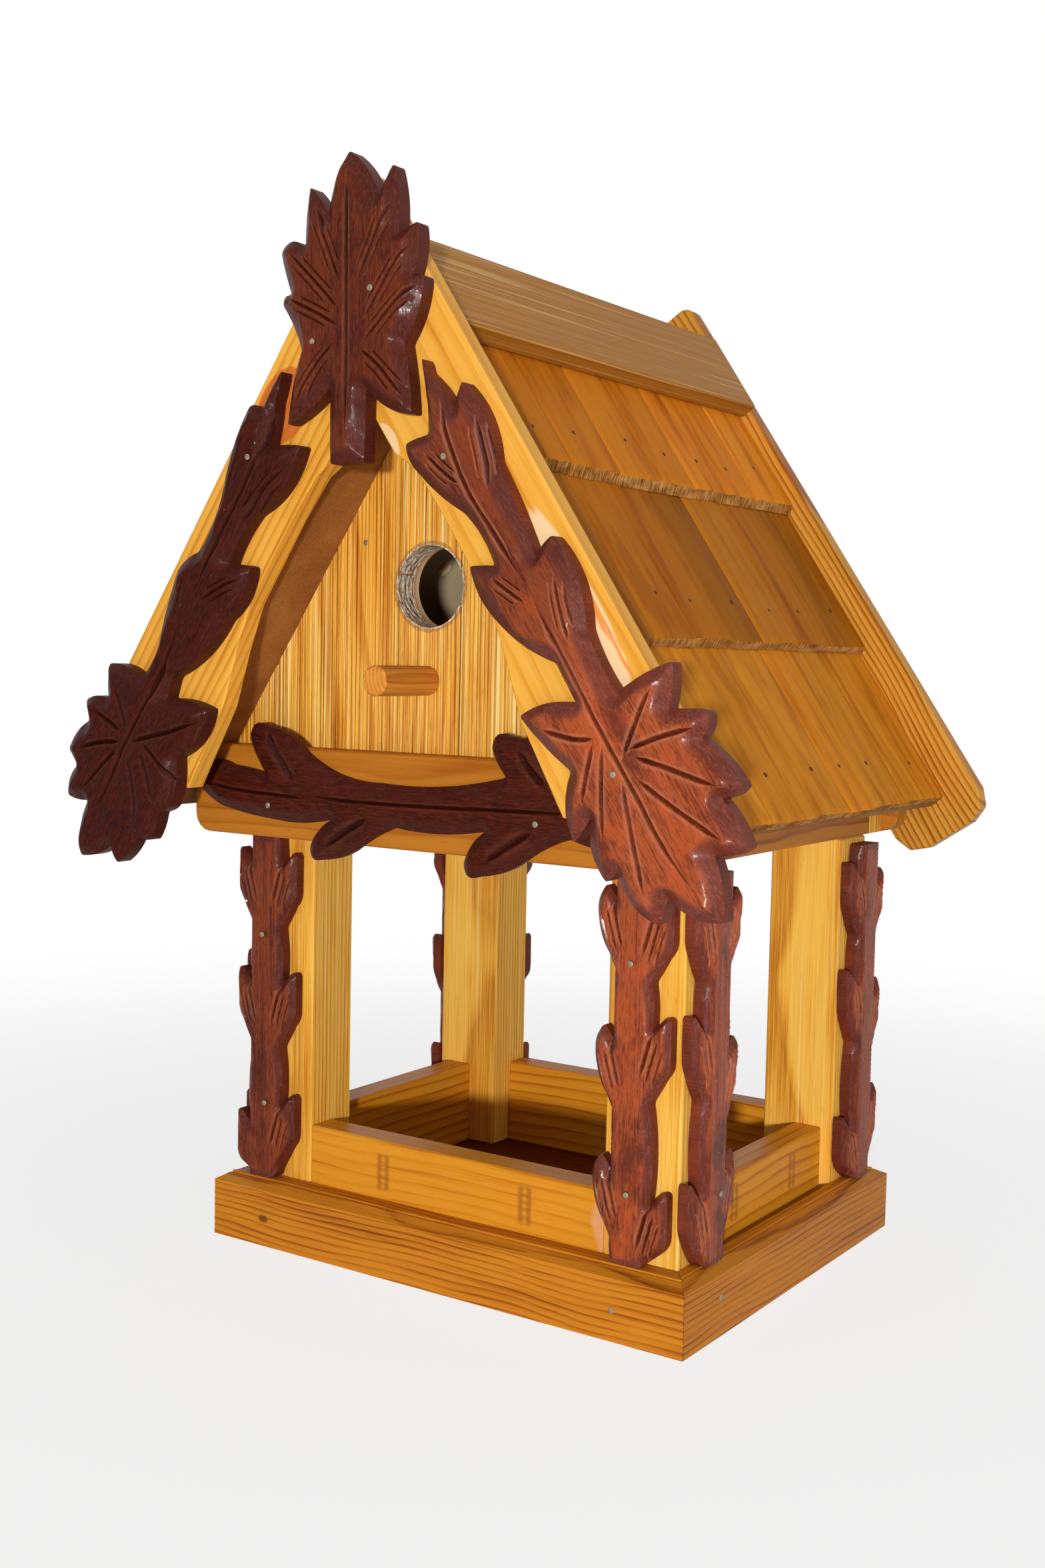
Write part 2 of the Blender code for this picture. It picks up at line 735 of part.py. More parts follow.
def build_carvings(carved):
    """The crown leaf, the two leaves with their vines, and the branch on the beam."""
    board = (CARVING_BACK_Y, CARVING_FACE_Y, CARVED_EDGES)
    beam = (BEAM_BRANCH_BACK_Y, BEAM_BRANCH_FACE_Y, BEAM_BRANCH_EDGES)
    for name, points, veins, put, (back, face, edges) in (
        ("leaf_crown", CROWN_OUTLINE, CROWN_VEINS, from_ridge, board),
        ("leaf_vine_left", LEFT_LEAF_OUTLINE, LEFT_LEAF_VEINS, on_left_slope, board),
        ("leaf_vine_right", RIGHT_LEAF_OUTLINE, RIGHT_LEAF_VEINS, on_right_slope, board),
        ("beam_branch", BEAM_BRANCH_OUTLINE, BEAM_BRANCH_VEINS, from_beam, beam),
    ):
        placed = [(*put(u, v), bulge) for u, v, bulge in points]
        obj = relief(name, with_arcs(placed), "Y", back, face, edges, carved)
        strokes = [(*put(u0, v0), *put(u1, v1)) for u0, v0, u1, v1 in veins]
        subtract(obj, vein_cutter(f"{name}_veins", strokes, face, carved), "Veins")


def under_roof(x):
    """Height just under the roof deck at the given distance from the middle."""
    return RIDGE_Z + (DECK_LOW - GAP) / math.cos(SLOPE) - abs(x) * math.tan(SLOPE)


def gable_outline():
    """Pentagon that fills the space under the roof decks."""
    return (
        (-SIDE_BEAM_OUTER_X, NEST_BOTTOM),
        (SIDE_BEAM_OUTER_X, NEST_BOTTOM),
        (SIDE_BEAM_OUTER_X, under_roof(SIDE_BEAM_OUTER_X)),
        (0.0, under_roof(0.0)),
        (-SIDE_BEAM_OUTER_X, under_roof(SIDE_BEAM_OUTER_X)),
    )


def hole_cutter(name, reach_low, reach_high, material):
    bm = bmesh.new()
    bmesh.ops.create_cone(
        bm,
        cap_ends=True,
        segments=HOLE_SIDES,
        radius1=HOLE_RADIUS * MM,
        radius2=HOLE_RADIUS * MM,
        depth=(reach_high - reach_low) * MM,
    )
    bmesh.ops.rotate(bm, verts=bm.verts, matrix=Matrix.Rotation(math.pi / 2.0, 3, "X"))
    middle = Vector((0.0, (reach_low + reach_high) / 2.0, HOLE_Z))
    bmesh.ops.translate(bm, verts=bm.verts, vec=middle * MM)
    return add_object(name, bm, material)


def build_nest(pine, panel, lining_wood):
    """Gable walls, lining, floor, beams and the perch."""
    front = -GABLE_FRONT_Y
    lining_front = front + GABLE_THICK + GAP
    lining_back = lining_front + LINING_THICK
    outline = gable_outline()

    wall = prism("gable_front", outline, "Y", front, front + GABLE_THICK, pine, 0.0)
    subtract(wall, hole_cutter("hole_in_wall", front - CUT_MARGIN, lining_front, pine), "Entrance")
    bm = bmesh.new()
    for x in PLANK_SEAMS:
        mouth = front - 1.0
        half = SEAM_HALF_WIDTH * (SEAM_DEPTH + 1.0) / SEAM_DEPTH
        corners = ((x - half, mouth), (x + half, mouth), (x, front + SEAM_DEPTH))
        rings = []
        for z in (NEST_BOTTOM - CUT_MARGIN, RIDGE_Z):
            rings.append([bm.verts.new(Vector((u, v, z)) * MM) for u, v in corners])
        bm.faces.new(rings[0])
        bm.faces.new(rings[1])
        for i in range(3):
            j = (i + 1) % 3
            bm.faces.new((rings[0][i], rings[0][j], rings[1][j], rings[1][i]))
    subtract(wall, add_object("plank_seams", bm, pine), "Seams")

    lining = prism("gable_lining", outline, "Y", lining_front, lining_back, lining_wood, 0.0)
    cutter = hole_cutter("hole_in_lining", front, lining_back + CUT_MARGIN, pine)
    subtract(lining, cutter, "Entrance")

    back_inner = -lining_back
    prism("gable_back", outline, "Y", back_inner, GABLE_FRONT_Y, pine, 0.0)

    span_y = back_inner - GAP
    floor_half_x = SIDE_BEAM_OUTER_X - SIDE_BEAM_THICK - GAP
    box(
        "nest_floor",
        -floor_half_x,
        floor_half_x,
        -span_y,
        span_y,
        NEST_BOTTOM,
        NEST_BOTTOM + NEST_FLOOR_THICK,
        panel,
        0.0,
    )
    inner_x = SIDE_BEAM_OUTER_X - SIDE_BEAM_THICK
    for name, side in (("side_beam_left", -1), ("side_beam_right", 1)):
        outline = (
            (side * inner_x, NEST_BOTTOM),
            (side * SIDE_BEAM_OUTER_X, NEST_BOTTOM),
            (side * SIDE_BEAM_OUTER_X, under_roof(SIDE_BEAM_OUTER_X)),
            (side * inner_x, under_roof(inner_x)),
        )
        prism(name, outline, "Y", -span_y, span_y, pine, 0.0)

    for name, side in (("beam_front", -1), ("beam_back", 1)):
        low, high = sorted((side * (GABLE_FRONT_Y + GAP), side * (GABLE_FRONT_Y + GAP + BEAM_THICK)))
        prism(name, beam_outline(), "Y", low, high, pine)

    bm = bmesh.new()
    bmesh.ops.create_cone(
        bm,
        cap_ends=True,
        segments=PERCH_SIDES,
        radius1=PERCH_RADIUS * MM,
        radius2=PERCH_RADIUS * MM,
        depth=PERCH_LENGTH * MM,
    )
    bmesh.ops.rotate(bm, verts=bm.verts, matrix=Matrix.Rotation(math.pi / 2.0, 3, "X"))
    middle = Vector((0.0, -GABLE_FRONT_Y - GAP - PERCH_LENGTH / 2.0, PERCH_Z))
    bmesh.ops.translate(bm, verts=bm.verts, vec=middle * MM)
    ease_edges(add_object("perch", bm, pine), PERCH_ARRIS)


def beam_outline():
    """A long board with rounded lower corners and upper corners cut to the roof slope."""
    centre_x = BEAM_HALF_X - BEAM_CORNER_RADIUS
    centre_z = NEST_BOTTOM + BEAM_CORNER_RADIUS
    slope_x = (under_roof(0.0) - BEAM_TOP) / math.tan(SLOPE)
    outline = arc(centre_x, centre_z, BEAM_CORNER_RADIUS, 270.0, 4)
    outline.append((BEAM_HALF_X, under_roof(BEAM_HALF_X)))
    outline.append((slope_x, BEAM_TOP))
    outline.append((-slope_x, BEAM_TOP))
    outline.append((-BEAM_HALF_X, under_roof(BEAM_HALF_X)))
    outline.extend(arc(-centre_x, centre_z, BEAM_CORNER_RADIUS, 180.0, 4))
    return outline


def arc(centre_u, centre_v, radius, start, steps):
    """Points of a quarter circle that starts at the given angle."""
    points = []
    for step in range(steps + 1):
        angle = math.radians(start + 90.0 * step / steps)
        points.append((centre_u + radius * math.cos(angle), centre_v + radius * math.sin(angle)))
    return points


def slat_columns(end, seed):
    """Columns across one course as (y, drop of the top face, end s), with a V at each seam."""
    pitch = (ROOF_BACK_Y - ROOF_FRONT_Y) / SLATS_PER_COURSE
    edges = [ROOF_FRONT_Y]
    for i in range(1, SLATS_PER_COURSE):
        edges.append(ROOF_FRONT_Y + i * pitch + SLAT_WIDTH_VARIATION * math.sin(seed + i * 2.4))
    edges.append(ROOF_BACK_Y)
    columns = []
    for i in range(SLATS_PER_COURSE):
        drop = SLAT_TOP_VARIATION * (1.0 + math.sin(seed * 3.0 + i * 1.9)) / 2.0
        slat_end = end - SLAT_END_VARIATION * (1.0 + math.sin(seed * 5.0 + i * 2.7)) / 2.0
        start_y = edges[i] + (SEAM_HALF_WIDTH if i else 0.0)
        end_y = edges[i + 1] - (SEAM_HALF_WIDTH if i < SLATS_PER_COURSE - 1 else 0.0)
        columns.append((start_y, drop, slat_end))
        columns.append((end_y, drop, slat_end))
        if i < SLATS_PER_COURSE - 1:
            columns.append((edges[i + 1], SEAM_DEPTH + SLAT_TOP_VARIATION, slat_end - SEAM_DEPTH))
    return columns


def course(name, side, low, high, columns, material):
    """One roof layer: a strip of columns from the ridge mitre down to each slat's end."""
    bm = bmesh.new()
    rows = []
    for y, drop, end in columns:
        corners = []
        for n, s in (
            (low, ridge_end(low)),
            (high - drop, ridge_end(high - drop)),
            (high - drop, end),
            (low, end),
        ):
            x, z = on_slope(side, s, n)
            corners.append(bm.verts.new(Vector((x, y, z)) * MM))
        rows.append(corners)
    bm.faces.new(rows[0])
    bm.faces.new(rows[-1])
    for here, there in zip(rows, rows[1:]):
        for i in range(4):
            j = (i + 1) % 4
            bm.faces.new((here[i], here[j], there[j], there[i]))
    return add_object(name, bm, material)


def build_roof(slat_wood, panel, pine):
    """Fibreboard decks, three lapped slat courses a side, and the ridge boards."""
    for side_name, side in (("left", -1), ("right", 1)):
        full = ((ROOF_FRONT_Y, 0.0, DECK_END), (ROOF_BACK_Y, 0.0, DECK_END))
        deck = course(f"roof_deck_{side_name}", side, DECK_LOW, DECK_HIGH, full, panel)
        if side < 0:
            subtract(deck, peg_hole_cutter(panel), "Peg hole")
        low = DECK_HIGH + GAP
        for number, end in ((3, COURSE_ENDS[2]), (2, COURSE_ENDS[1]), (1, COURSE_ENDS[0])):
            columns = slat_columns(end, number + side * 0.7)
            name = f"roof_course_{number}_{side_name}"
            course(name, side, low, low + SLAT_THICK, columns, slat_wood)
            low += SLAT_THICK + GAP
        cap = ((ROOF_FRONT_Y, 0.0, RIDGE_BOARD_END), (ROOF_BACK_Y, 0.0, RIDGE_BOARD_END))
        ridge = course(f"ridge_board_{side_name}", side, low, 0.0, cap, slat_wood)
        ease_edges(ridge, ARRIS)
    build_front_boards(pine)
    build_rear_boards(pine)


def peg_hole_cutter(material):
    """A small drilled hole in the left deck, which shows through the entrance."""
    low_ring = []
    high_ring = []
    for i in range(PEG_HOLE_SIDES):
        angle = math.tau * i / PEG_HOLE_SIDES
        s = PEG_HOLE_S + PEG_HOLE_RADIUS * math.cos(angle)
        y = PEG_HOLE_Y + PEG_HOLE_RADIUS * math.sin(angle)
        for ring, n in ((low_ring, DECK_LOW - CUT_MARGIN), (high_ring, DECK_HIGH + CUT_MARGIN)):
            x, z = on_slope(-1, s, n)
            ring.append((x, y, z))
    return loft("peg_hole", low_ring, high_ring, material)


def build_front_boards(wood):
    back = FRONT_BOARD_FACE_Y + FRONT_BOARD_THICK
    apex_z = RIDGE_Z + FRONT_BOARD_TOP_N / math.cos(SLOPE) - FRONT_BOARD_BLUNT
    cut_x = FRONT_BOARD_BLUNT / math.tan(SLOPE)
    inner_z = RIDGE_Z + FRONT_BOARD_INNER[-1][1] / math.cos(SLOPE)
    for name, side in (("bargeboard_front_left", -1), ("bargeboard_front_right", 1)):
        outline = [
            (side * GAP / 2.0, apex_z),
            (side * cut_x, apex_z),
            on_slope(side, FRONT_BOARD_END, FRONT_BOARD_TOP_N),
        ]
        outline.extend(on_slope(side, s, n) for s, n in FRONT_BOARD_INNER)
        outline.append((side * GAP / 2.0, inner_z))
        prism(name, outline, "Y", FRONT_BOARD_FACE_Y, back, wood, FRONT_BOARD_ARRIS)


def rounded_corner(side, s, n, radius, toward_s, toward_n):
    """Three points round a board corner, in outline order."""
    centre_s = s + toward_s * radius
    centre_n = n + toward_n * radius
    diagonal = radius * math.sqrt(0.5)
    points = [
        (s, centre_n),
        (centre_s - toward_s * diagonal, centre_n - toward_n * diagonal),
        (centre_s, n),
    ]
    if toward_s * toward_n > 0:
        points.reverse()
    return [on_slope(side, *point) for point in points]


def build_rear_boards(wood):
    """The right board runs past the apex and the left one butts against it."""
    back = REAR_BOARD_FACE_Y + REAR_BOARD_THICK
    tip = REAR_BOARD_TIP_RADIUS
    end = REAR_BOARD_END_RADIUS
    right = []
    right += rounded_corner(1, REAR_BOARD_OVERRUN, REAR_BOARD_INNER_N, tip, 1, 1)
    right += rounded_corner(1, REAR_BOARD_OVERRUN, REAR_BOARD_TOP_N, tip, 1, -1)
    right += rounded_corner(1, REAR_BOARD_END, REAR_BOARD_TOP_N, end, -1, -1)
    right += rounded_corner(1, REAR_BOARD_END, REAR_BOARD_INNER_N, end, -1, 1)
    prism("bargeboard_rear_right", right, "Y", REAR_BOARD_FACE_Y, back, wood)

    butt_n = REAR_BOARD_INNER_N - GAP
    left = []
    for n in (REAR_BOARD_INNER_N, REAR_BOARD_TOP_N):
        z = RIDGE_Z + (n + butt_n) / (2.0 * math.cos(SLOPE))
        x = (butt_n - n) / (2.0 * math.sin(SLOPE))
        left.append((x, z))
    left += rounded_corner(-1, REAR_BOARD_END, REAR_BOARD_TOP_N, end, -1, -1)
    left += rounded_corner(-1, REAR_BOARD_END, REAR_BOARD_INNER_N, end, -1, 1)
    prism("bargeboard_rear_left", left, "Y", REAR_BOARD_FACE_Y, back, wood)


def main():
    for obj in list(bpy.data.objects):
        bpy.data.objects.remove(obj, do_unlink=True)
    pine = principled("varnished_pine", (0.62, 0.33, 0.07), 0.45)
    base_wood = principled("oiled_base_pine", (0.40, 0.17, 0.03), 0.5)
    slat_wood = principled("roof_slat_wood", (0.45, 0.23, 0.05), 0.6)
    carved = principled("stained_carved_wood", (0.11, 0.02, 0.008), 0.3)
    panel = principled("fibreboard", (0.24, 0.09, 0.02), 0.6)
    lining = principled("gable_lining_wood", (0.55, 0.36, 0.25), 0.7)
    build_base(base_wood, panel)
    build_rails(pine)
    build_posts(pine, carved)
    build_nest(pine, panel, lining)
    build_roof(slat_wood, panel, pine)
    build_carvings(carved)


main()
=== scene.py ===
"""Looks for a wooden birdhouse over a feeding tray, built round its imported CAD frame.

Lengths are millimetres unless a name says otherwise, and become metres where a mesh is
made. X runs right along the front, the front faces -Y and Z is up. Roof pieces use slope
coordinates: s runs down the slope from the ridge line and n is the height over the top
face of the ridge boards.
"""

import math
import random

import bmesh
import bpy
import numpy as np
from bpy.props import FloatProperty, FloatVectorProperty, PointerProperty
from mathutils import Matrix, Vector, noise
from mathutils.geometry import delaunay_2d_cdt


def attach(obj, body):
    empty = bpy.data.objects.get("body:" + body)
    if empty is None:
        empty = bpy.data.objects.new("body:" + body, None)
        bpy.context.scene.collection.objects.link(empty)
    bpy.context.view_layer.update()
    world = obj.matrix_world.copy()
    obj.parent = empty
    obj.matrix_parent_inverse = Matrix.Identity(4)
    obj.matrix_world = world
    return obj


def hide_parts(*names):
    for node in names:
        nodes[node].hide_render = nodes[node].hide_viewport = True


bl_info = {
    "name": "Birdhouse with feeding tray",
    "version": (1, 0, 0),
    "blender": (4, 5, 0),
    "location": "3D View > Sidebar > Birdhouse",
    "description": "Carved trim, roof slats, nails and finishes for a wooden birdhouse",
    "category": "Add Mesh",
}

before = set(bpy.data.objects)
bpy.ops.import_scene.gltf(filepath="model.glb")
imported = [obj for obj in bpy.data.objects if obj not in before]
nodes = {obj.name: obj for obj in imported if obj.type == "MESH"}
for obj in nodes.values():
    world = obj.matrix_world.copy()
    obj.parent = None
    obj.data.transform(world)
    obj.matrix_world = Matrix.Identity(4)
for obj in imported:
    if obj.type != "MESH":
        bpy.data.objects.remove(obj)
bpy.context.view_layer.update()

MM = 0.001
BODY = "root"

# Shared with the CAD pieces
SLOPE = math.radians(55.9)
SLOPE_COS = math.cos(SLOPE)
SLOPE_SIN = math.sin(SLOPE)
RIDGE_Z = 582.7
CARVING_BACK_Y = -199.7
CARVING_THICK = 15.3
BEAM_BRANCH_BACK_Y = -158.6
BEAM_BRANCH_THICK = 9.4
BEAM_LOW_Z = 253.0
BRANCH_FOOT_Z = 39.3
BRANCH_TOP_Z = 249.0
POST_FACE_X = 150.6
POST_FACE_Y = 116.1
POST_MID_X = 127.15
POST_MID_Y = 97.15
POST_BRANCH_THICK = 13.0
ROOF_FRONT_Y = -186.6
ROOF_BACK_Y = 180.5
COURSE_LOW_N = {1: -18.7, 2: -25.3, 3: -31.9}
COURSE_END_S = {1: 139.0, 2: 245.6, 3: 357.0}
SLAT_THICK = 6.3
BASE_FACE_X = 165.0
PLANK_SEAMS = (-110.5, -66.5, -21.7, 21.0, 66.0, 110.0)
HOLE_Z = 397.0
HOLE_RADIUS = 22.5
NEST_HALF_DEPTH = 122.0
NEST_ROOF_LOW_Z = 290.0

TO_RIGHT = (1.0, 0.0, 0.0)
TO_FRONT = (0.0, -1.0, 0.0)
TO_BACK = (0.0, 1.0, 0.0)
UP = (0.0, 0.0, 1.0)
LEFT_DOWN = (-SLOPE_COS, 0.0, -SLOPE_SIN)
RIGHT_DOWN = (SLOPE_COS, 0.0, -SLOPE_SIN)

# Wood grain: the direction along each board and the one across its wide face
ALONG_X = (TO_RIGHT, UP)
ALONG_Y = (TO_BACK, UP)
ALONG_Z = (UP, TO_RIGHT)
LEFT_SLATS = (LEFT_DOWN, TO_BACK)
RIGHT_SLATS = (RIGHT_DOWN, TO_BACK)
LEFT_RIDGE = (TO_BACK, LEFT_DOWN)
RIGHT_RIDGE = (TO_BACK, RIGHT_DOWN)
LEFT_BOARD = (LEFT_DOWN, (-SLOPE_SIN, 0.0, SLOPE_COS))
RIGHT_BOARD = (RIGHT_DOWN, (SLOPE_SIN, 0.0, SLOPE_COS))


def srgb(red, green, blue):
    """A colour as it looks on screen, 0 to 255, as the linear values that shaders take."""
    channels = []
    for channel in (red, green, blue):
        share = channel / 255.0
        channels.append(share / 12.92 if share <= 0.04045 else ((share + 0.055) / 1.055) ** 2.4)
    return tuple(channels)


def on_slope(side, s, n):
    """(x, z) of slope coordinates on the left (-1) or right (1) side of the roof."""
    x = s * SLOPE_COS + n * SLOPE_SIN
    z = RIDGE_Z - s * SLOPE_SIN + n * SLOPE_COS
    return side * x, z


# Carved outlines run clockwise seen from the front. Each point ends with a bulge, the
# outward sagitta of the arc to the next point over its chord. The crown leaf is drawn as
# (x, height over the ridge line), the side leaves as (s, n) along their bargeboards and
# the branch on the beam as (x, height over the lower edge of the beam).
CROWN_OUTLINE = (
    (-16.0, -125.7, 0.0), (-16.5, -86.4, 0.05), (-45.0, -104.2, 0.04), (-36.0, -65.7, -0.04),
    (-49.5, -41.4, 0.3), (-43.3, -36.9, 0.02), (-51.0, -14.2, 0.3), (-34.4, -14.4, 0.02),
    (-31.4, 17.0, 0.06), (-18.1, -0.6, 0.1), (-5.2, 31.6, 0.08), (14.4, 6.5, 0.05),
    (23.3, 21.2, 0.06), (26.8, -13.6, 0.02), (39.1, -8.9, 0.08), (36.7, -33.9, 0.05),
    (43.3, -35.9, 0.08), (31.7, -67.4, 0.02), (37.0, -103.2, 0.1), (7.6, -88.2, 0.0),
    (6.6, -125.5, 0.0),
)

LEFT_LEAF_OUTLINE = (
    (90.2, -1.0, 0.03), (106.2, -6.0, 0.03), (127.9, -15.3, 0.03), (115.5, -34.5, 0.12),
    (162.3, -27.8, -0.05), (194.8, -27.2, 0.05), (187.2, -40.4, 0.12), (221.1, -41.6, 0.08),
    (269.5, -26.4, 0.0), (282.0, -29.9, 0.06), (268.6, -58.9, 0.14), (305.1, -54.1, 0.08),
    (330.3, -66.1, 0.08), (338.9, -60.8, 0.06), (356.3, -64.2, 0.08), (360.3, -54.9, 0.08),
    (383.3, -51.4, 0.12), (378.5, -41.3, 0.08), (399.0, -24.3, 0.1), (368.6, -10.9, 0.06),
    (376.5, 4.4, 0.12), (357.0, 7.9, 0.0), (353.4, 18.8, 0.1), (329.7, 14.3, 0.02),
    (321.0, 23.0, 0.12), (309.7, 8.2, 0.05), (292.3, 19.0, 0.1), (284.5, -6.7, -0.06),
    (261.2, -7.6, 0.02), (220.1, 3.3, 0.1), (201.5, -4.3, -0.06), (157.2, 2.1, 0.04),
    (117.4, 8.5, 0.2), (114.7, -0.9, 0.04),
)

RIGHT_LEAF_OUTLINE = (
    (86.7, -7.3, 0.1), (93.9, -8.6, 0.05), (120.1, -4.8, 0.05), (111.7, 6.3, 0.1),
    (156.0, 1.1, 0.02), (209.2, -5.1, 0.08), (205.2, 8.7, 0.1), (253.3, 0.7, -0.04),
    (287.8, -1.0, 0.05), (291.3, 31.1, 0.06), (309.0, 17.5, 0.05), (320.5, 34.3, 0.15),
    (328.9, 24.8, 0.06), (358.4, 31.9, 0.12), (357.2, 19.2, 0.06), (383.1, 19.3, 0.12),
    (376.7, 2.5, 0.06), (405.8, -9.8, 0.12), (381.7, -29.2, 0.05), (390.6, -40.2, 0.14),
    (358.6, -46.2, 0.02), (359.8, -54.4, 0.12), (329.4, -45.0, 0.04), (335.0, -59.9, 0.12),
    (305.6, -42.8, 0.03), (267.8, -53.8, 0.1), (280.0, -23.1, 0.0), (257.4, -22.4, 0.06),
    (220.9, -40.3, 0.08), (190.1, -39.1, 0.02), (198.5, -26.5, -0.06), (166.3, -27.6, 0.04),
    (132.4, -39.9, 0.1), (116.2, -38.7, 0.03), (121.1, -24.4, 0.0), (109.9, -17.4, 0.0),
)

BEAM_BRANCH_OUTLINE = (
    (-156.0, 30.6, 0.2), (-139.7, 43.5, 0.06), (-126.9, 40.7, 0.02), (-99.9, 36.9, 0.05),
    (-112.7, 57.7, 0.35), (-99.3, 64.1, 0.1), (-70.1, 50.3, -0.08), (-17.9, 36.1, -0.04),
    (67.0, 43.7, 0.05), (57.7, 58.7, 0.35), (69.3, 65.2, 0.12), (95.9, 50.3, -0.04),
    (126.3, 43.2, 0.12), (145.6, 30.0, 0.3), (141.9, 14.5, 0.1), (107.6, 14.5, -0.05),
    (77.7, -0.3, 0.06), (51.1, -9.4, 0.35), (40.6, -3.6, 0.1), (54.1, 14.5, 0.04),
    (-5.7, 12.5, -0.04), (-33.6, -2.3, 0.06), (-57.5, -9.3, 0.35), (-66.5, -2.6, 0.1),
    (-49.7, 14.3, 0.05), (-90.6, 11.0, 0.02), (-133.8, 16.5, 0.06),
)

# Gouge cuts in the carved faces: lines are single, fans have shorter cuts beside them
CROWN_LINES = (((-2.5, 24.0), (-2.5, -11.8), (-1.6, -69.2), (-1.8, -92.2), (-2.0, -122.0)),)
CROWN_FANS = (
    ((23.7, 2.5), (15.1, -16.2), (3.6, -38.2)),
    ((36.5, -20.0), (26.5, -30.9), (8.2, -56.9)),
    ((41.5, -39.3), (29.7, -47.0), (6.8, -68.4)),
    ((6.5, -68.8), (21.5, -79.9), (34.4, -96.6)),
    ((-8.3, -63.3), (-23.9, -76.3), (-38.8, -96.4)),
    ((-6.8, -56.7), (-24.3, -47.4), (-43.1, -39.2)),
    ((-6.9, -48.5), (-24.6, -31.1), (-43.4, -14.7)),
    ((-6.0, -36.1), (-15.5, -14.9), (-26.5, 8.6)),
)

LEFT_LEAF_LINES = (
    ((98.0, -6.0), (128.0, -15.0), (160.0, -17.5), (190.0, -16.0), (230.0, -18.5)),
    ((236.0, -19.0), (276.1, -22.6), (318.8, -21.2), (339.4, -23.4), (376.1, -25.0)),
    ((316.0, -24.6), (304.7, -34.9), (291.1, -48.4), (275.1, -60.2)),
    ((312.0, -18.1), (302.5, -4.1), (296.1, 5.9)),
    ((315.8, -14.5), (316.8, -2.0), (318.4, 8.4)),
    ((321.1, -17.4), (331.2, -3.8), (343.5, 6.9)),
    ((326.1, -18.3), (341.7, -12.9), (362.2, -7.7)),
    ((323.7, -26.3), (332.4, -36.4), (343.6, -47.9), (360.4, -56.3)),
    ((315.4, -32.6), (324.6, -46.6), (335.7, -58.9)),
    ((310.9, -31.9), (312.4, -47.8), (316.7, -65.2)),
)
LEFT_LEAF_FANS = (
    ((178.8, -10.4), (150.0, -4.5), (134.4, -1.3)),
    ((172.4, -22.9), (148.0, -28.0), (126.6, -34.4)),
    ((218.4, -25.2), (205.0, -33.0), (195.1, -40.3)),
    ((236.6, -11.5), (222.0, -7.5), (212.2, -4.7)),
)

RIGHT_LEAF_LINES = (
    ((112.6, -8.0), (135.0, -14.0), (163.8, -18.0), (189.1, -15.2), (219.8, -14.5)),
    ((224.0, -14.4), (271.0, -15.1), (298.3, -16.0), (337.9, -15.6), (363.3, -16.5), (398.8, -11.4)),
    ((325.1, -18.3), (342.0, -24.9), (357.7, -30.6), (380.5, -38.4)),
    ((305.5, -18.6), (315.9, -25.7), (329.9, -34.7), (345.6, -43.6)),
    ((301.7, -22.2), (307.8, -28.3), (315.1, -35.8), (324.3, -44.4)),
    ((300.9, -20.4), (297.1, -28.2), (290.4, -35.7), (280.4, -44.8)),
    ((316.8, -13.0), (310.4, -3.6), (301.2, 9.4), (295.8, 19.4)),
    ((314.7, -7.7), (318.1, 9.1), (324.4, 27.8)),
    ((318.2, -7.9), (332.1, 5.1), (345.8, 16.2), (354.7, 24.7)),
    ((327.7, -11.6), (345.0, -3.9), (359.3, 3.3), (378.2, 13.3)),
)
RIGHT_LEAF_FANS = (
    ((168.0, -7.5), (150.0, 0.0), (130.1, 5.1)),
    ((155.5, -19.9), (141.7, -25.4), (128.7, -28.7)),
    ((226.0, -19.0), (211.5, -25.7), (203.1, -29.7)),
    ((255.3, -8.5), (236.1, -3.3), (221.9, 2.9)),
)

BEAM_BRANCH_LINES = (
    ((-143.0, 29.5), (-116.0, 26.5), (-84.0, 25.5), (-62.0, 24.5)),
    ((-72.0, 27.5), (-40.0, 25.0), (20.0, 25.5), (70.0, 27.0), (132.0, 28.0)),
)
BEAM_BRANCH_GROOVES = (
    ((-75.0, 33.0), (-88.0, 48.0), (-99.0, 63.0)),
    ((-22.0, 17.0), (-40.0, 7.0), (-56.0, -3.0)),
    ((86.0, 17.0), (69.0, 7.0), (55.0, -2.0)),
    ((94.0, 40.0), (83.0, 50.0), (75.0, 60.0)),
)

FACE_LOBES = {
    "front_left": ((38.7, 127.7, 201.7), (52.7, 127.7, 200.7)),
    "front_right": ((56.7, 126.7, 201.7), (41.7, 134.7, 198.7)),
    "back_left": ((46.7, 129.7, 201.7), (44.7, 123.7, 199.7)),
    "back_right": ((44.7, 125.7, 198.7), (46.7, 129.7, 201.7)),
}

SIDE_LOBES = {
    "front_left": ((49.2, 137.2, 200.2), (51.2, 131.2, 198.2)),
    "front_right": ((47.2, 136.2, 199.2), (57.2, 119.2, 200.2)),
    "back_left": ((45.2, 123.2, 197.2), (49.2, 135.2, 200.2)),
    "back_right": ((41.2, 133.2, 199.7), (55.2, 123.2, 193.2)),
}

# How far each corner's two branches stand off the middle of the post: the one on the
# front or back face along X, and the one on the side face along Y
BRANCH_SHIFTS = {
    "front_left": (-7.4, 5.9),
    "front_right": (-3.6, 3.3),
    "back_left": (0.0, 3.0),
    "back_right": (0.0, 6.0),
}


# Shader writing


def arithmetic(operation, swapped=False):
    """One of Socket's operators, as a method that adds a Math node."""

    def method(self, other):
        operands = (other, self) if swapped else (self, other)
        return self.finish.maths(operation, *operands)

    return method


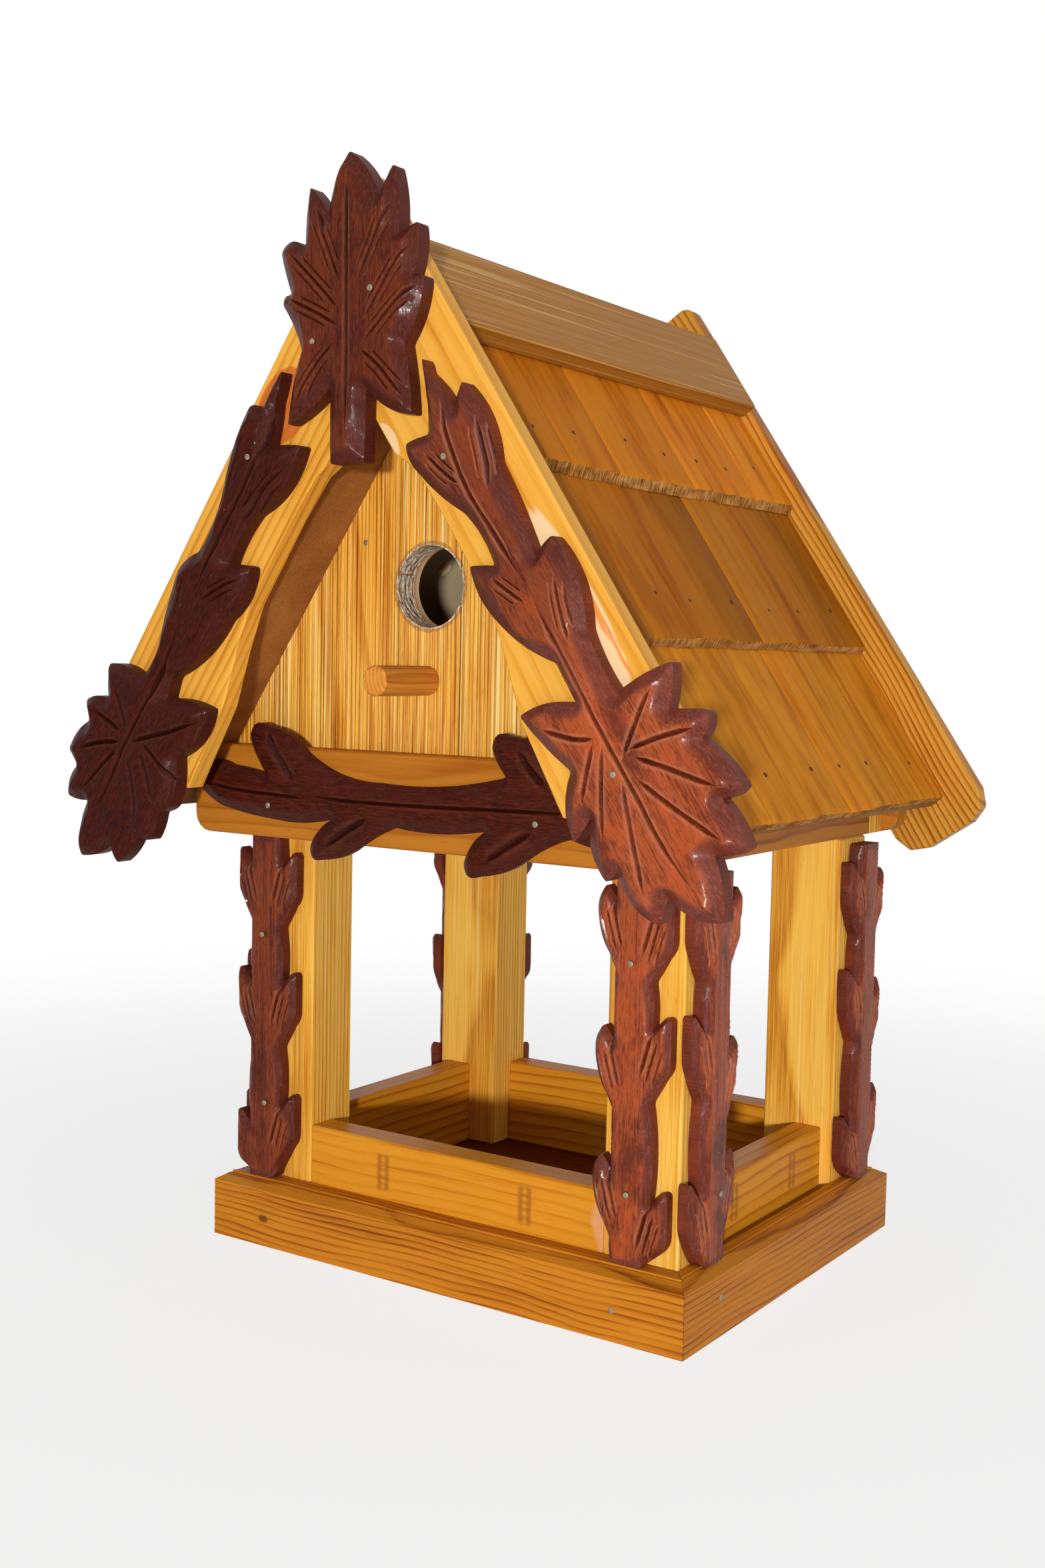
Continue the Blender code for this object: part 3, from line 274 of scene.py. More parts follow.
class Socket:
    """An output of a shader node. Arithmetic on it adds Math nodes."""

    def __init__(self, finish, out):
        self.finish = finish
        self.out = out

    __add__ = arithmetic("ADD")
    __radd__ = arithmetic("ADD", swapped=True)
    __sub__ = arithmetic("SUBTRACT")
    __rsub__ = arithmetic("SUBTRACT", swapped=True)
    __mul__ = arithmetic("MULTIPLY")
    __rmul__ = arithmetic("MULTIPLY", swapped=True)
    __truediv__ = arithmetic("DIVIDE")

    def __abs__(self):
        return self.finish.maths("ABSOLUTE", self)


class Finish:
    """One material, whose nodes are written as expressions on their sockets."""

    def __init__(self, name):
        self.material = bpy.data.materials.new(name)
        self.material.use_nodes = True
        self.tree = self.material.node_tree
        self.shader = self.tree.nodes["Principled BSDF"]

    def node(self, kind, settings=None, inputs=None, output=0):
        """A new node with its settings made first, then its inputs set or linked."""
        made = self.tree.nodes.new(kind)
        for setting, value in (settings or {}).items():
            setattr(made, setting, value)
        for key, value in (inputs or {}).items():
            self.feed(made.inputs[key], value)
        return Socket(self, made.outputs[output])

    def feed(self, socket, value):
        if isinstance(value, Socket):
            self.tree.links.new(value.out, socket)
        elif socket.type == "RGBA" and len(value) == 3:
            socket.default_value = (*value, 1.0)
        else:
            socket.default_value = value

    def maths(self, operation, *operands):
        return self.node("ShaderNodeMath", {"operation": operation}, dict(enumerate(operands)))

    def vector(self, operation, *operands):
        inputs = dict(enumerate(operands))
        output = "Value" if operation in ("DOT_PRODUCT", "LENGTH") else "Vector"
        return self.node("ShaderNodeVectorMath", {"operation": operation}, inputs, output)

    def combine(self, x, y, z):
        return self.node("ShaderNodeCombineXYZ", {}, {"X": x, "Y": y, "Z": z})

    def noise(self, where, detail=2.0, roughness=0.5):
        inputs = {"Vector": where, "Scale": 1.0, "Detail": detail, "Roughness": roughness}
        return self.node("ShaderNodeTexNoise", {"noise_dimensions": "3D"}, inputs)

    def step(self, value, low, high, start=0.0, end=1.0):
        """start below low, end over high, and a smooth change between them."""
        settings = {"interpolation_type": "SMOOTHSTEP"}
        inputs = {"Value": value, 1: low, 2: high, 3: start, 4: end}
        return self.node("ShaderNodeMapRange", settings, inputs)

    def mix(self, share, first, second, blend="MIX"):
        settings = {"data_type": "RGBA", "blend_type": blend}
        return self.node("ShaderNodeMix", settings, {0: share, 6: first, 7: second}, 2)

    def tinted(self, colour, tint):
        return self.mix(1.0, colour, tint, "MULTIPLY")

    def ramp(self, value, stops):
        """The colour of value on a ramp of (position, colour) stops."""
        made = self.node("ShaderNodeValToRGB", {}, {0: value})
        elements = made.out.node.color_ramp.elements
        while len(elements) > 1:
            elements.remove(elements[-1])
        for i, (position, colour) in enumerate(stops):
            stop = elements[0] if i == 0 else elements.new(position)
            stop.position = position
            stop.color = (*colour, 1.0)
        return made

    def attribute(self, name):
        return self.node("ShaderNodeAttribute", {"attribute_name": name}, output="Fac")

    def position(self, direction):
        """Distance in millimetres along a direction, measured on the piece itself."""
        here = self.node("ShaderNodeTexCoord", output="Object")
        return self.vector("DOT_PRODUCT", here, tuple(Vector(direction) / MM))

    def cloud(self, scale, detail, roughness=0.5):
        """Noise of one scale in every direction, in turns per millimetre."""
        here = self.combine(*(self.position(axis) for axis in (TO_RIGHT, TO_BACK, UP)))
        return self.noise(self.vector("MULTIPLY", here, (scale,) * 3), detail, roughness)

    def spread(self, first, second, radius_first, radius_second):
        """1 in the middle of an ellipse and 0 outside it, from two offsets."""
        across = first / radius_first
        up = second / radius_second
        return self.step(across * across + up * up, 0.3, 1.0, 1.0, 0.0)

    def close(self, colour, roughness, height, relief, coat=0.0, gloss=0.2, shine=0.2):
        """Links the finished colour, roughness and bump to the shader."""
        self.feed(self.shader.inputs["Base Color"], colour)
        self.feed(self.shader.inputs["Roughness"], roughness)
        self.shader.inputs["Specular IOR Level"].default_value = shine
        self.feed(self.shader.inputs["Coat Weight"], coat)
        self.shader.inputs["Coat Roughness"].default_value = gloss
        inputs = {"Strength": 1.0, "Distance": relief * MM, "Height": height}
        self.feed(self.shader.inputs["Normal"], self.node("ShaderNodeBump", {}, inputs))
        return self.material


# Across one growth ring: pale early wood, dark late wood and a sharp end
RING_PROFILE = ((0.0, (0.0,) * 3), (0.45, (0.18,) * 3), (0.86, (1.0,) * 3), (1.0, (0.05,) * 3))

# Patches in the grain: turns per millimetre along and across it, the noise's detail and
# roughness, and the values of the noise between which a patch fades in
WEATHER = (0.011, 0.05, 3.0, 0.6, 0.5, 0.66)
PLANK_PATCHES = (0.03, 0.2, 4.0, 0.7, 0.52, 0.7)
FURROWS = (0.006, 0.5, 1.0, 0.5, 0.3, 0.7)
FINE_STREAKS = (0.005, 0.7, 1.0, 0.5, 0.55, 0.66)
STREAKED_PARTS = (0.004, 0.05, 1.0, 0.5, 0.42, 0.6)

# How far the grain jumps, along and across it, from one board or plank to the next
BOARD_JUMP = (731.0, 97.0)
PLANK_JUMP = (331.0, 47.3)


class Wood(Finish):
    """Sawn timber: growth rings round a heart that lies off the board, fibres and pores."""

    def __init__(self, name, grain, shift=0.0, board=False):
        super().__init__(name)
        along, across = (Vector(direction) for direction in grain)
        self.along = self.position(along) + shift
        self.across = self.position(across)
        self.depth = self.position(along.cross(across))
        if board:
            self.board = self.attribute("board")
            self.along = self.along + self.board * BOARD_JUMP[0]
            self.across = self.across + self.board * BOARD_JUMP[1]

    def texture(self, along, across, depth, detail=2.0, roughness=0.5):
        """Noise with its own turns per millimetre along, across and into the board."""
        where = self.combine(self.along * along, self.across * across, self.depth * depth)
        return self.noise(where, detail, roughness)

    def patches(self, pattern, start=0.0, end=1.0):
        """start between the patches of a pattern such as WEATHER, and end in them."""
        along, across, detail, roughness, low, high = pattern
        cloud = self.texture(along, across, across, detail, roughness)
        return self.step(cloud, low, high, start, end)

    def grow(self, heart, ring, wander, late, fibre, cloud):
        """Sets tone, from 0 for pale early wood to 1 for dark late wood, rings and fibres."""
        slow = self.texture(0.006, 0.017, 0.017) - 0.5
        from_heart = self.combine(self.across - heart[0], self.depth - heart[1], 0.0)
        radius = self.vector("LENGTH", from_heart) + slow * wander
        self.rings = self.ramp(self.maths("FRACT", radius / ring), RING_PROFILE)
        self.fibres = self.texture(0.02, 1.5, 1.5, 3.0, 0.6)
        clouds = self.texture(0.009, 0.09, 0.09, 2.0, 0.55)
        fibrous = (self.fibres - 0.5) * (2.0 * fibre)
        clouded = (clouds - 0.5) * (2.0 * cloud)
        self.tone = self.step(self.rings * late + fibrous + clouded + 0.1, -0.1, 1.1)

    def split(self):
        """Gives each plank its own grain. Returns the plank's number, and 0 in the joints."""
        face = self.across
        number = 0.0
        solid = 1.0
        for seam in PLANK_SEAMS:
            number = self.maths("GREATER_THAN", face, seam) + number
            solid = solid * self.step(abs(face - seam), 0.15, 0.6)
        self.along = self.along + number * PLANK_JUMP[0]
        self.across = self.across + number * PLANK_JUMP[1]
        return number, solid


# A board's look where its own says nothing else. shift moves its grain, and board and
# planks part it by slat or by plank. late, fibre, wander and cloud shape its tone,
# streaks, bright, pores and marks its colour, and the rest its surface
# The bright streaks are partly pale resin and partly painted highlight lines along the grain
COMMON_LOOK = {
    "shift": 0.0,
    "board": False,
    "planks": False,
    "late": 0.8,
    "fibre": 0.45,
    "wander": 9.0,
    "cloud": 0.35,
    "streaks": 0.0,
    "bright": srgb(248, 216, 136),
    "pores": 0.74,
    "marks": None,
    "ridge": 0.5,
    "rough": 0.45,
    "relief": 0.15,
    "coat": 0.03,
    "shine": 0.07,
}
BOARD_SHADES = (
    (0.0, (1.0, 1.0, 1.0)),
    (0.22, (0.7, 0.66, 0.55)),
    (0.4, (1.18, 1.16, 1.1)),
    (0.58, (0.86, 0.83, 0.74)),
    (0.76, (1.12, 1.0, 0.8)),
    (1.0, (0.78, 0.72, 0.62)),
)
PLANK_TINT = (0.98, 0.84, 0.62)
PLANK_STAIN = srgb(204, 118, 40)
PLANK_JOINT = srgb(92, 52, 18)
PORE_TINT = (0.3, 0.2, 0.1)
VARNISH_GLOSS = 0.25


def timber(name, grain, tones, heart, ring, **look):
    """A varnished or oiled board. look holds what differs from COMMON_LOOK."""
    look = {**COMMON_LOOK, **look}
    wood = Wood(name, grain, look["shift"], look["board"])
    if look["planks"]:
        plank, solid = wood.split()
    wood.grow(heart, ring, *(look[key] for key in ("wander", "late", "fibre", "cloud")))
    colour = wood.ramp(wood.tone, [(i / (len(tones) - 1), tone) for i, tone in enumerate(tones)])
    if look["board"]:
        colour = wood.tinted(colour, wood.ramp(wood.board, BOARD_SHADES))
        faded = wood.tinted(colour, look["aged"])
        colour = wood.mix(wood.patches(WEATHER, 0.0, 0.75), colour, faded)
    if look["planks"]:
        warmth = wood.noise(wood.combine(plank * 3.7, 8.0, 2.0), 0.0)
        colour = wood.mix(wood.step(warmth, 0.3, 0.7), colour, wood.tinted(colour, PLANK_TINT))
        colour = wood.mix(wood.patches(PLANK_PATCHES, 0.0, 0.5), colour, PLANK_STAIN)
        colour = wood.mix((1.0 - solid) * 0.6, colour, PLANK_JOINT)
    # Bright streaks along the grain: partly pale resin, partly painted highlight lines along the fibres
    if look["streaks"]:
        bright = wood.patches(FINE_STREAKS) * wood.patches(STREAKED_PARTS, 0.25, 1.0)
        colour = wood.mix(bright * look["streaks"], colour, look["bright"])
    dashes = wood.texture(0.11, 1.3, 1.3, 1.0, 0.4)
    pores = wood.step(dashes, look["pores"], look["pores"] + 0.05)
    colour = wood.mix(pores * 0.3, colour, wood.tinted(colour, PORE_TINT))
    if look["marks"]:
        colour = look["marks"](wood, colour)
    height = wood.rings * look["ridge"] + wood.fibres * (1.0 - look["ridge"]) - pores * 0.5
    if look["planks"]:
        height = height + wood.patches(FURROWS) * 1.6 + solid * 0.8
    roughness = wood.tone * -0.12 + look["rough"]
    shine = look["shine"]
    return wood.close(colour, roughness, height, look["relief"], look["coat"], VARNISH_GLOSS, shine)


# Marks on single boards, which timber paints over their grain

KNOT_X = -124.7
KNOT_Z = 16.8
KNOT_HALF = 2.8
KNOT_BROWN = srgb(104, 56, 22)
SCORCH_Z = 55.0
SCORCH_HALF = 2.9
SCORCH = srgb(150, 84, 24)
RUNG_STEP = 4.2
RAW_PINK = srgb(222, 160, 112)
RAW_CREAM = srgb(236, 205, 160)
DRIP_ORANGE = srgb(226, 130, 20)
STAIN_RUN = srgb(196, 84, 36)
HOLE_BROWN = srgb(150, 96, 50)
HOLE_GREY = srgb(200, 184, 160)
HOLE_PALE = srgb(230, 222, 208)
HOLE_WALL = ((0.3, HOLE_BROWN), (0.48, HOLE_GREY), (0.7, HOLE_PALE))

# The way out of a rail, and how far out the middle of its thickness is
OUT_OF_FRONT_RAIL = (TO_FRONT, 106.0)
OUT_OF_RIGHT_RAIL = (TO_RIGHT, 133.5)
FRONT_RAIL_SCORCHES = (-47.7, 52.8)
RIGHT_RAIL_SCORCHES = (-38.0, 37.0)
FRONT_RAIL_PALE_X = 96.0
PALE_MIDDLE_Z = 56.0

# Places on the front boards: s, n and half the length and width
BARE_STRIP = (236.0, 1.0, 62.0, 9.5)
BARE_FOOT = (103.0, -52.0, 13.0, 7.0)
VARNISH_RUN = (256.0, 0.0, 38.0, 40.0)
VARNISH_RUN_N = 5.5
CROWN_STAIN = (108.0, -5.0, 26.0, 20.0)


def knot(wood, colour):
    """The base's front: one small knot."""
    mask = wood.spread(wood.along - KNOT_X, wood.across - KNOT_Z, KNOT_HALF * 1.6, KNOT_HALF)
    return wood.mix(mask * 0.85, colour, KNOT_BROWN)


def rail_marks(points, outward, middle, pale_from=None):
    """Marks for a rail: paired scorch strokes on its outer face, and a pale end."""

    def paint(wood, colour):
        wobble = (wood.texture(0.3, 0.25, 0.3, 1.0) - 0.5) * 3.0
        outside = wood.maths("GREATER_THAN", wood.position(outward), middle)
        high = wood.step(abs(wood.across - SCORCH_Z), 9.0, 12.0, 1.0, 0.0) * outside
        rung = abs(wood.maths("FRACT", wood.across / RUNG_STEP) - 0.5)
        rungs = wood.step(rung, 0.1, 0.4, 0.4, 0.0)
        for point in points:
            off = wood.along - point + wobble * 0.3
            between = wood.step(abs(off), 2.2, 3.4, 1.0, 0.0) * rungs * high
            colour = wood.mix(between, colour, SCORCH)
            for side in (-SCORCH_HALF, SCORCH_HALF):
                mask = wood.step(abs(off + side), 0.3, 2.7, 0.62, 0.0) * high
                colour = wood.mix(mask, colour, SCORCH)
        if pale_from is not None:
            slant = abs(wood.across - PALE_MIDDLE_Z) * 0.35
            mask = wood.step(wood.along + wobble - slant, pale_from - 2.0, pale_from + 2.0)
            colour = wood.mix(mask * 0.8, colour, RAW_PINK)
        return colour

    return paint


def slope_place(wood):
    """Slope coordinates (s, n) on a front board."""
    return wood.along + RIDGE_Z * SLOPE_SIN, wood.across - RIDGE_Z * SLOPE_COS


def slope_spot(wood, place):
    """1 in the middle of a place on a front board, and 0 outside it."""
    s, n, half_s, half_n = place
    down, off = slope_place(wood)
    return wood.spread(down - s, off - n, half_s, half_n)


def on_front(wood):
    """1 on the front faces of the front boards."""
    return wood.maths("LESS_THAN", wood.position(TO_BACK), CARVING_BACK_Y + 1.2)


def board_runs(wood, colour):
    """The right front board: bare cream places where the varnish missed, and a run of it."""
    front = on_front(wood)
    edge = wood.texture(0.05, 0.4, 0.3)
    bare = wood.step(slope_spot(wood, BARE_STRIP) + edge * 0.5, 0.45, 0.85)
    colour = wood.mix(bare * front * 0.9, colour, RAW_CREAM)
    line = abs(slope_place(wood)[1] - VARNISH_RUN_N + (edge - 0.5) * 6.0)
    run = wood.step(line, 0.7, 2.2, 1.0, 0.0) * slope_spot(wood, VARNISH_RUN)
    colour = wood.mix(run * front * 0.8, colour, DRIP_ORANGE)
    bare = wood.step(slope_spot(wood, BARE_FOOT) + edge * 0.4, 0.45, 0.8) * front
    return wood.mix(bare * 0.75, colour, RAW_CREAM)


def stain_run(wood, colour):
    """The left front board: stain that ran from the crown leaf on to the board."""
    edge = wood.texture(0.06, 0.25, 0.3)
    run = wood.step(slope_spot(wood, CROWN_STAIN) + edge * 0.5, 0.5, 0.75)
    return wood.mix(run * on_front(wood) * 0.75, colour, STAIN_RUN)


def hole_rim(wood, colour):
    """The planks: bare grey wood on the wall of the entrance hole, and its ragged rim."""
    height = wood.position(UP) - HOLE_Z
    side = wood.position(TO_RIGHT)
    reach = wood.vector("LENGTH", wood.combine(side, height, 0.0))
    ragged = (wood.noise(wood.combine(side * 0.5, height * 0.5, 0.0)) - 0.5) * 3.5
    bare = wood.step(reach + ragged, HOLE_RADIUS + 0.2, HOLE_RADIUS + 1.0, 1.0, 0.0)
    scorched = wood.step(abs(reach + ragged - HOLE_RADIUS - 1.4), 0.3, 1.6, 0.65, 0.0)
    colour = wood.mix(scorched, colour, HOLE_BROWN)
    depth = wood.position(TO_BACK)
    torn = wood.noise(wood.combine(side * 0.12, height * 0.5, depth * 0.7), 3.0)
    return wood.mix(bare, colour, wood.ramp(torn, HOLE_WALL))


# Carved relief

POINT_STEP = 1.6
LIP_STEP = 2.4
SHARP_ANGLE = 38.0
MERGE_WITHIN = 0.02
FAN_GAP = 3.7


def arc_points(outline, step):
    """The outline with its bulged sides as arcs, cut into runs no longer than step."""
    points = []
    for i, (u, v, bulge) in enumerate(outline):
        next_u, next_v = outline[(i + 1) % len(outline)][:2]
        run_u = next_u - u
        run_v = next_v - v
        count = max(1, math.ceil(math.hypot(run_u, run_v) / step))
        for k in range(count):
            t = k / count
            lift = 4.0 * bulge * t * (1.0 - t)
            points.append((u + run_u * t - run_v * lift, v + run_v * t + run_u * lift))
    return points


def soften(points):
    """The closed outline with its corners slightly worn."""
    ring = np.array(points)
    return 0.5 * ring + 0.25 * (np.roll(ring, 1, axis=0) + np.roll(ring, -1, axis=0))


def to_segments(points, starts, ends):
    """For each point, the distance to each segment and how far along it the foot lies."""
    runs = ends - starts
    lengths = np.maximum((runs**2).sum(axis=1), 1e-9)
    offset = points[:, None, :] - starts[None, :, :]
    share = np.clip((offset * runs[None]).sum(axis=2) / lengths[None], 0.0, 1.0)
    gap = offset - share[..., None] * runs[None]
    return np.sqrt((gap**2).sum(axis=2)), share


def to_ring(points, ring):
    """For each point, the distance to the nearest side of the closed ring."""
    distance, _ = to_segments(points, ring, np.roll(ring, -1, axis=0))
    return distance.min(axis=1)


def inside(points, ring):
    """Which points lie within the closed ring."""
    x, y = points[:, 0][:, None], points[:, 1][:, None]
    x0, y0 = ring[:, 0][None], ring[:, 1][None]
    x1, y1 = np.roll(ring[:, 0], -1)[None], np.roll(ring[:, 1], -1)[None]
    rise = np.where(np.abs(y1 - y0) < 1e-9, 1e-9, y1 - y0)
    crossed = ((y0 > y) != (y1 > y)) & (x < x0 + (y - y0) * (x1 - x0) / rise)
    return crossed.sum(axis=1) % 2 == 1


def ripples(points, scale, seed):
    """Smooth noise at each point, from -1 to 1."""
    return np.array([noise.noise(Vector((u * scale, v * scale, seed))) for u, v in points])


def rounded(points):
    """The open line with its inner corners cut twice, so that it bends smoothly."""
    line = np.array(points, dtype=float)
    for _ in range(2):
        if len(line) < 3:
            break
        early = line[:-1] * 0.75 + line[1:] * 0.25
        late = line[:-1] * 0.25 + line[1:] * 0.75
        middle = np.stack((early, late), axis=1).reshape(-1, 2)[1:-1]
        line = np.concatenate((line[:1], middle, line[-1:]))
    return line


def taper(t):
    """Share of a cut's full width at t along it, pointed at both ends."""
    return np.clip(np.minimum((t + 0.03) * 6.0, (1.03 - t) * 4.0), 0.08, 1.0)


class Cut:
    """A V-shaped gouge cut along a line of points."""

    def __init__(self, points, half, deep):
        self.points = rounded(points)
        self.half = half
        self.deep = deep
        runs = np.diff(self.points, axis=0)
        self.lengths = np.hypot(runs[:, 0], runs[:, 1])
        self.before = np.concatenate(([0.0], np.cumsum(self.lengths)[:-1]))
        self.length = float(self.lengths.sum())

    def at(self, distance):
        """The point at a distance along the cut, and the direction across it there."""
        k = max(int(np.searchsorted(self.before, distance, side="right")) - 1, 0)
        run = (self.points[k + 1] - self.points[k]) / self.lengths[k]
        return self.points[k] + run * (distance - self.before[k]), np.array((-run[1], run[0]))

    def reach(self, points):
        """For each point, the distance to the cut and its share of the cut's length."""
        distance, share = to_segments(points, self.points[:-1], self.points[1:])
        best = distance.argmin(axis=1)
        rows = np.arange(len(points))
        along = self.before[best] + share[rows, best] * self.lengths[best]
        return distance[rows, best], along / self.length

    def beside(self, gap):
        """A shorter and shallower cut that runs beside this one."""
        points = []
        for share in (0.16, 0.5, 0.86):
            point, across = self.at(share * self.length)
            points.append(point + across * gap)
        return Cut(points, self.half * 0.8, self.deep * 0.75)

    def edges(self, starts_at):
        """Points and edges along the cut's bottom and both of its lips."""
        points = []
        edges = []
        count = max(3, round(self.length / LIP_STEP))
        for side in (-1.0, 0.0, 1.0):
            first = starts_at + len(points)
            for k in range(count + 1):
                t = k / count
                point, across = self.at(t * self.length)
                points.append(point + across * (side * self.half * float(taper(t))))
            edges.extend((first + k, first + k + 1) for k in range(count))
        return points, edges


class Carving:
    """A carved plate: an outline, a worked face of hills and cuts, and a flat back.

    rib is a half-round stem on the face: its two ends, half its width, and its height at
    its sides and along its middle.
    """

    def __init__(self, outline, cuts, thick, edge_width, edge_drop, step=POINT_STEP, rib=None):
        self.ring = soften(arc_points(outline, step))
        self.cuts = cuts
        self.thick = thick
        self.edge_width = edge_width
        self.edge_drop = edge_drop
        self.step = step
        self.rib = rib

    def fill(self):
        """Points inside the outline, on a loose grid that leaves room round the cuts."""
        low = self.ring.min(axis=0)
        high = self.ring.max(axis=0)
        rows = np.arange(low[1], high[1], self.step * 0.87)
        columns = np.arange(low[0], high[0], self.step)
        shifts = (0.0, self.step / 2.0)
        grid = np.array([(u + shifts[row % 2], v) for row, v in enumerate(rows) for u in columns])
        grid = grid[inside(grid, self.ring)]
        grid = grid[to_ring(grid, self.ring) > self.step * 0.55]
        for cut in self.cuts:
            near, _ = cut.reach(grid)
            grid = grid[near > cut.half * 1.4]
        return grid

    def heights(self, points, seed):
        """The face's height over the back, how near the edge it is and how deep in a cut."""
        width = self.edge_width * (1.0 + 0.45 * ripples(points, 0.05, seed))
        t = np.clip(to_ring(points, self.ring) / width, 0.0, 1.0)
        height = self.thick - self.edge_drop * (1.0 - t) ** 1.12
        height -= 0.3 * (1.0 + ripples(points, 0.16, seed + 9.0))
        if self.rib:
            foot, head, half, low, high = self.rib
            near, _ = to_segments(points, np.array([foot]), np.array([head]))
            share = np.clip(near[:, 0] / half, 0.0, 1.0)
            stem = low + (high - low) * np.sqrt(1.0 - share**2)
            height = np.where(share < 1.0, np.maximum(height, stem), height)
            height = np.minimum(height, self.thick)
        depth = np.zeros(len(points))
        for cut in self.cuts:
            near, share = cut.reach(points)
            narrow = taper(share)
            groove = np.clip(1.0 - near / (cut.half * narrow * 1.02), 0.0, 1.0)
            swell = np.exp(-((near / (cut.half * 3.4)) ** 2)) * 0.22
            depth = np.maximum(depth, (groove + swell) * cut.deep * narrow)
        height -= np.minimum(depth, height * 0.6)
        return height, 1.0 - t, depth

    def flat_mesh(self):
        """Points and faces of the outline seen flat, with edges along every cut."""
        points = [Vector(point) for point in (*self.ring, *self.fill())]
        numbers = {}
        lips = []
        extra = []
        for cut in self.cuts:
            found, edges = cut.edges(len(extra))
            extra += found
            lips += edges
        keep = inside(np.array(extra), self.ring)
        for i, point in enumerate(extra):
            if keep[i]:
                numbers[i] = len(points)
                points.append(Vector(point))
        lips = [(numbers[a], numbers[b]) for a, b in lips if a in numbers and b in numbers]
        border = [list(range(len(self.ring)))]
        found, _, faces, *_ = delaunay_2d_cdt(points, lips, border, 1, MERGE_WITHIN)
        return np.array([tuple(point) for point in found]), faces

    def build(self, name, place, seed, materials):
        """The carving as a piece. place turns (u, v, height) into a point."""
        flat, faces = self.flat_mesh()
        bm = bmesh.new()
        worn = bm.verts.layers.float.new("rim")
        cut = bm.verts.layers.float.new("cut")
        top = []
        for (u, v), h, near, deep in zip(flat, *self.heights(flat, seed)):
            vert = bm.verts.new(Vector(place(u, v, h)) * MM)
            vert[worn] = near
            vert[cut] = deep
            top.append(vert)
        for face in faces:
            bm.faces.new([top[i] for i in face])
        border = [edge for edge in bm.edges if len(edge.link_faces) == 1]
        walls = bmesh.ops.extrude_edge_only(bm, edges=border)["geom"]
        foot = {item for item in walls if isinstance(item, bmesh.types.BMVert)}
        back = Vector(place(0.0, 0.0, 0.0)) * MM
        outward = Vector(place(0.0, 0.0, 1.0)) * MM - back
        axis = 0 if outward.x else 1
        for vert in foot:
            vert.co[axis] = back[axis]
            vert[worn] = 1.0
        rim = [edge for edge in bm.edges if all(vert in foot for vert in edge.verts)]
        filled = bmesh.ops.triangle_fill(bm, edges=rim, use_beauty=False)["geom"]
        for item in (*walls, *filled):
            if isinstance(item, bmesh.types.BMFace):
                item.material_index = 1
        add_piece(f"carved_{name}", bm, materials, name, SHARP_ANGLE)


def add_piece(name, bm, materials, node=None, sharp=None):
    """Puts a mesh in the scene on its body, with its finishes, in place of a CAD node."""
    bmesh.ops.recalc_face_normals(bm, faces=bm.faces)
    mesh = bpy.data.meshes.new(name)
    bm.to_mesh(mesh)
    bm.free()
    mesh.shade_smooth()
    if sharp:
        mesh.set_sharp_from_angle(angle=math.radians(sharp))
    for material in materials:
        mesh.materials.append(material)
    piece = bpy.data.objects.new(name, mesh)
    bpy.context.scene.collection.objects.link(piece)
    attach(piece, BODY)
    if node:
        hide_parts(node)


# Carved trim

# Name, outline, single cuts, fans, side of the roof with 0 for its point, grain, and how
# far it is stained towards the darkest red
LEAVES = (
    ("leaf_crown", CROWN_OUTLINE, CROWN_LINES, CROWN_FANS, 0, ALONG_Z, 0.74),
    ("leaf_vine_left", LEFT_LEAF_OUTLINE, LEFT_LEAF_LINES, LEFT_LEAF_FANS, -1, LEFT_BOARD, 0.97),
    ("leaf_vine_right", RIGHT_LEAF_OUTLINE, RIGHT_LEAF_LINES, RIGHT_LEAF_FANS, 1, RIGHT_BOARD, 0.0),
)
BEAM_BRANCH_DARK = 0.92
BRANCH_DARK = {"front_left": 0.45, "front_right": 0.0, "back_left": 0.2, "back_right": 0.25}

# Where the right vine's dark stain starts to clear, and over what length it does
FADE_S = 230.0
FADE_LENGTH = 90.0

# Half the width of a branch's stem and of its whole plate, on a post's face and side
FACE_STEM = (11.0, 23.0)
SIDE_STEM = (11.4, 24.1)
ROUNDED_BRANCH = "branch_front_face_right"
LOBE_CUTS_LOW = 40.0
PLATE_UNDER_STEM = 2.6
PLATE_EDGE_WIDTH = 4.2
PLATE_EDGE_DROP = 4.0
PLATE_STEP = 1.7
STEM_LOW = 5.5
STEM_PAST_END = 5.0

STAIN_MIDDLE = srgb(126, 48, 20)
STAIN_GLOW = srgb(178, 78, 30)
RAISED_FIBRE_GLINT = srgb(118, 56, 44)
# Painted highlight: a pale line along the lips of the cuts
LIP_HIGHLIGHT_PAINT = srgb(196, 122, 88)
# Painted glints: pale specks where raised fibres on the worn edges catch the light
STAIN_DARK_RED = srgb(74, 22, 12)
STAIN_DARKEST = srgb(40, 14, 11)
# Painted shade: the dark in the bottom of the cuts
CUT_SHADE_PAINT = srgb(40, 14, 12)
STAIN_SAWN = srgb(128, 56, 30)


def cuts_along(lines, fans, half, deep):
    """The single cuts, and three side by side for each fan."""
    cuts = [Cut(line, half, deep) for line in lines]
    for fan in fans:
        middle = Cut(fan, half * 0.85, deep * 0.85)
        cuts += [middle, middle.beside(FAN_GAP), middle.beside(-FAN_GAP)]
    return cuts


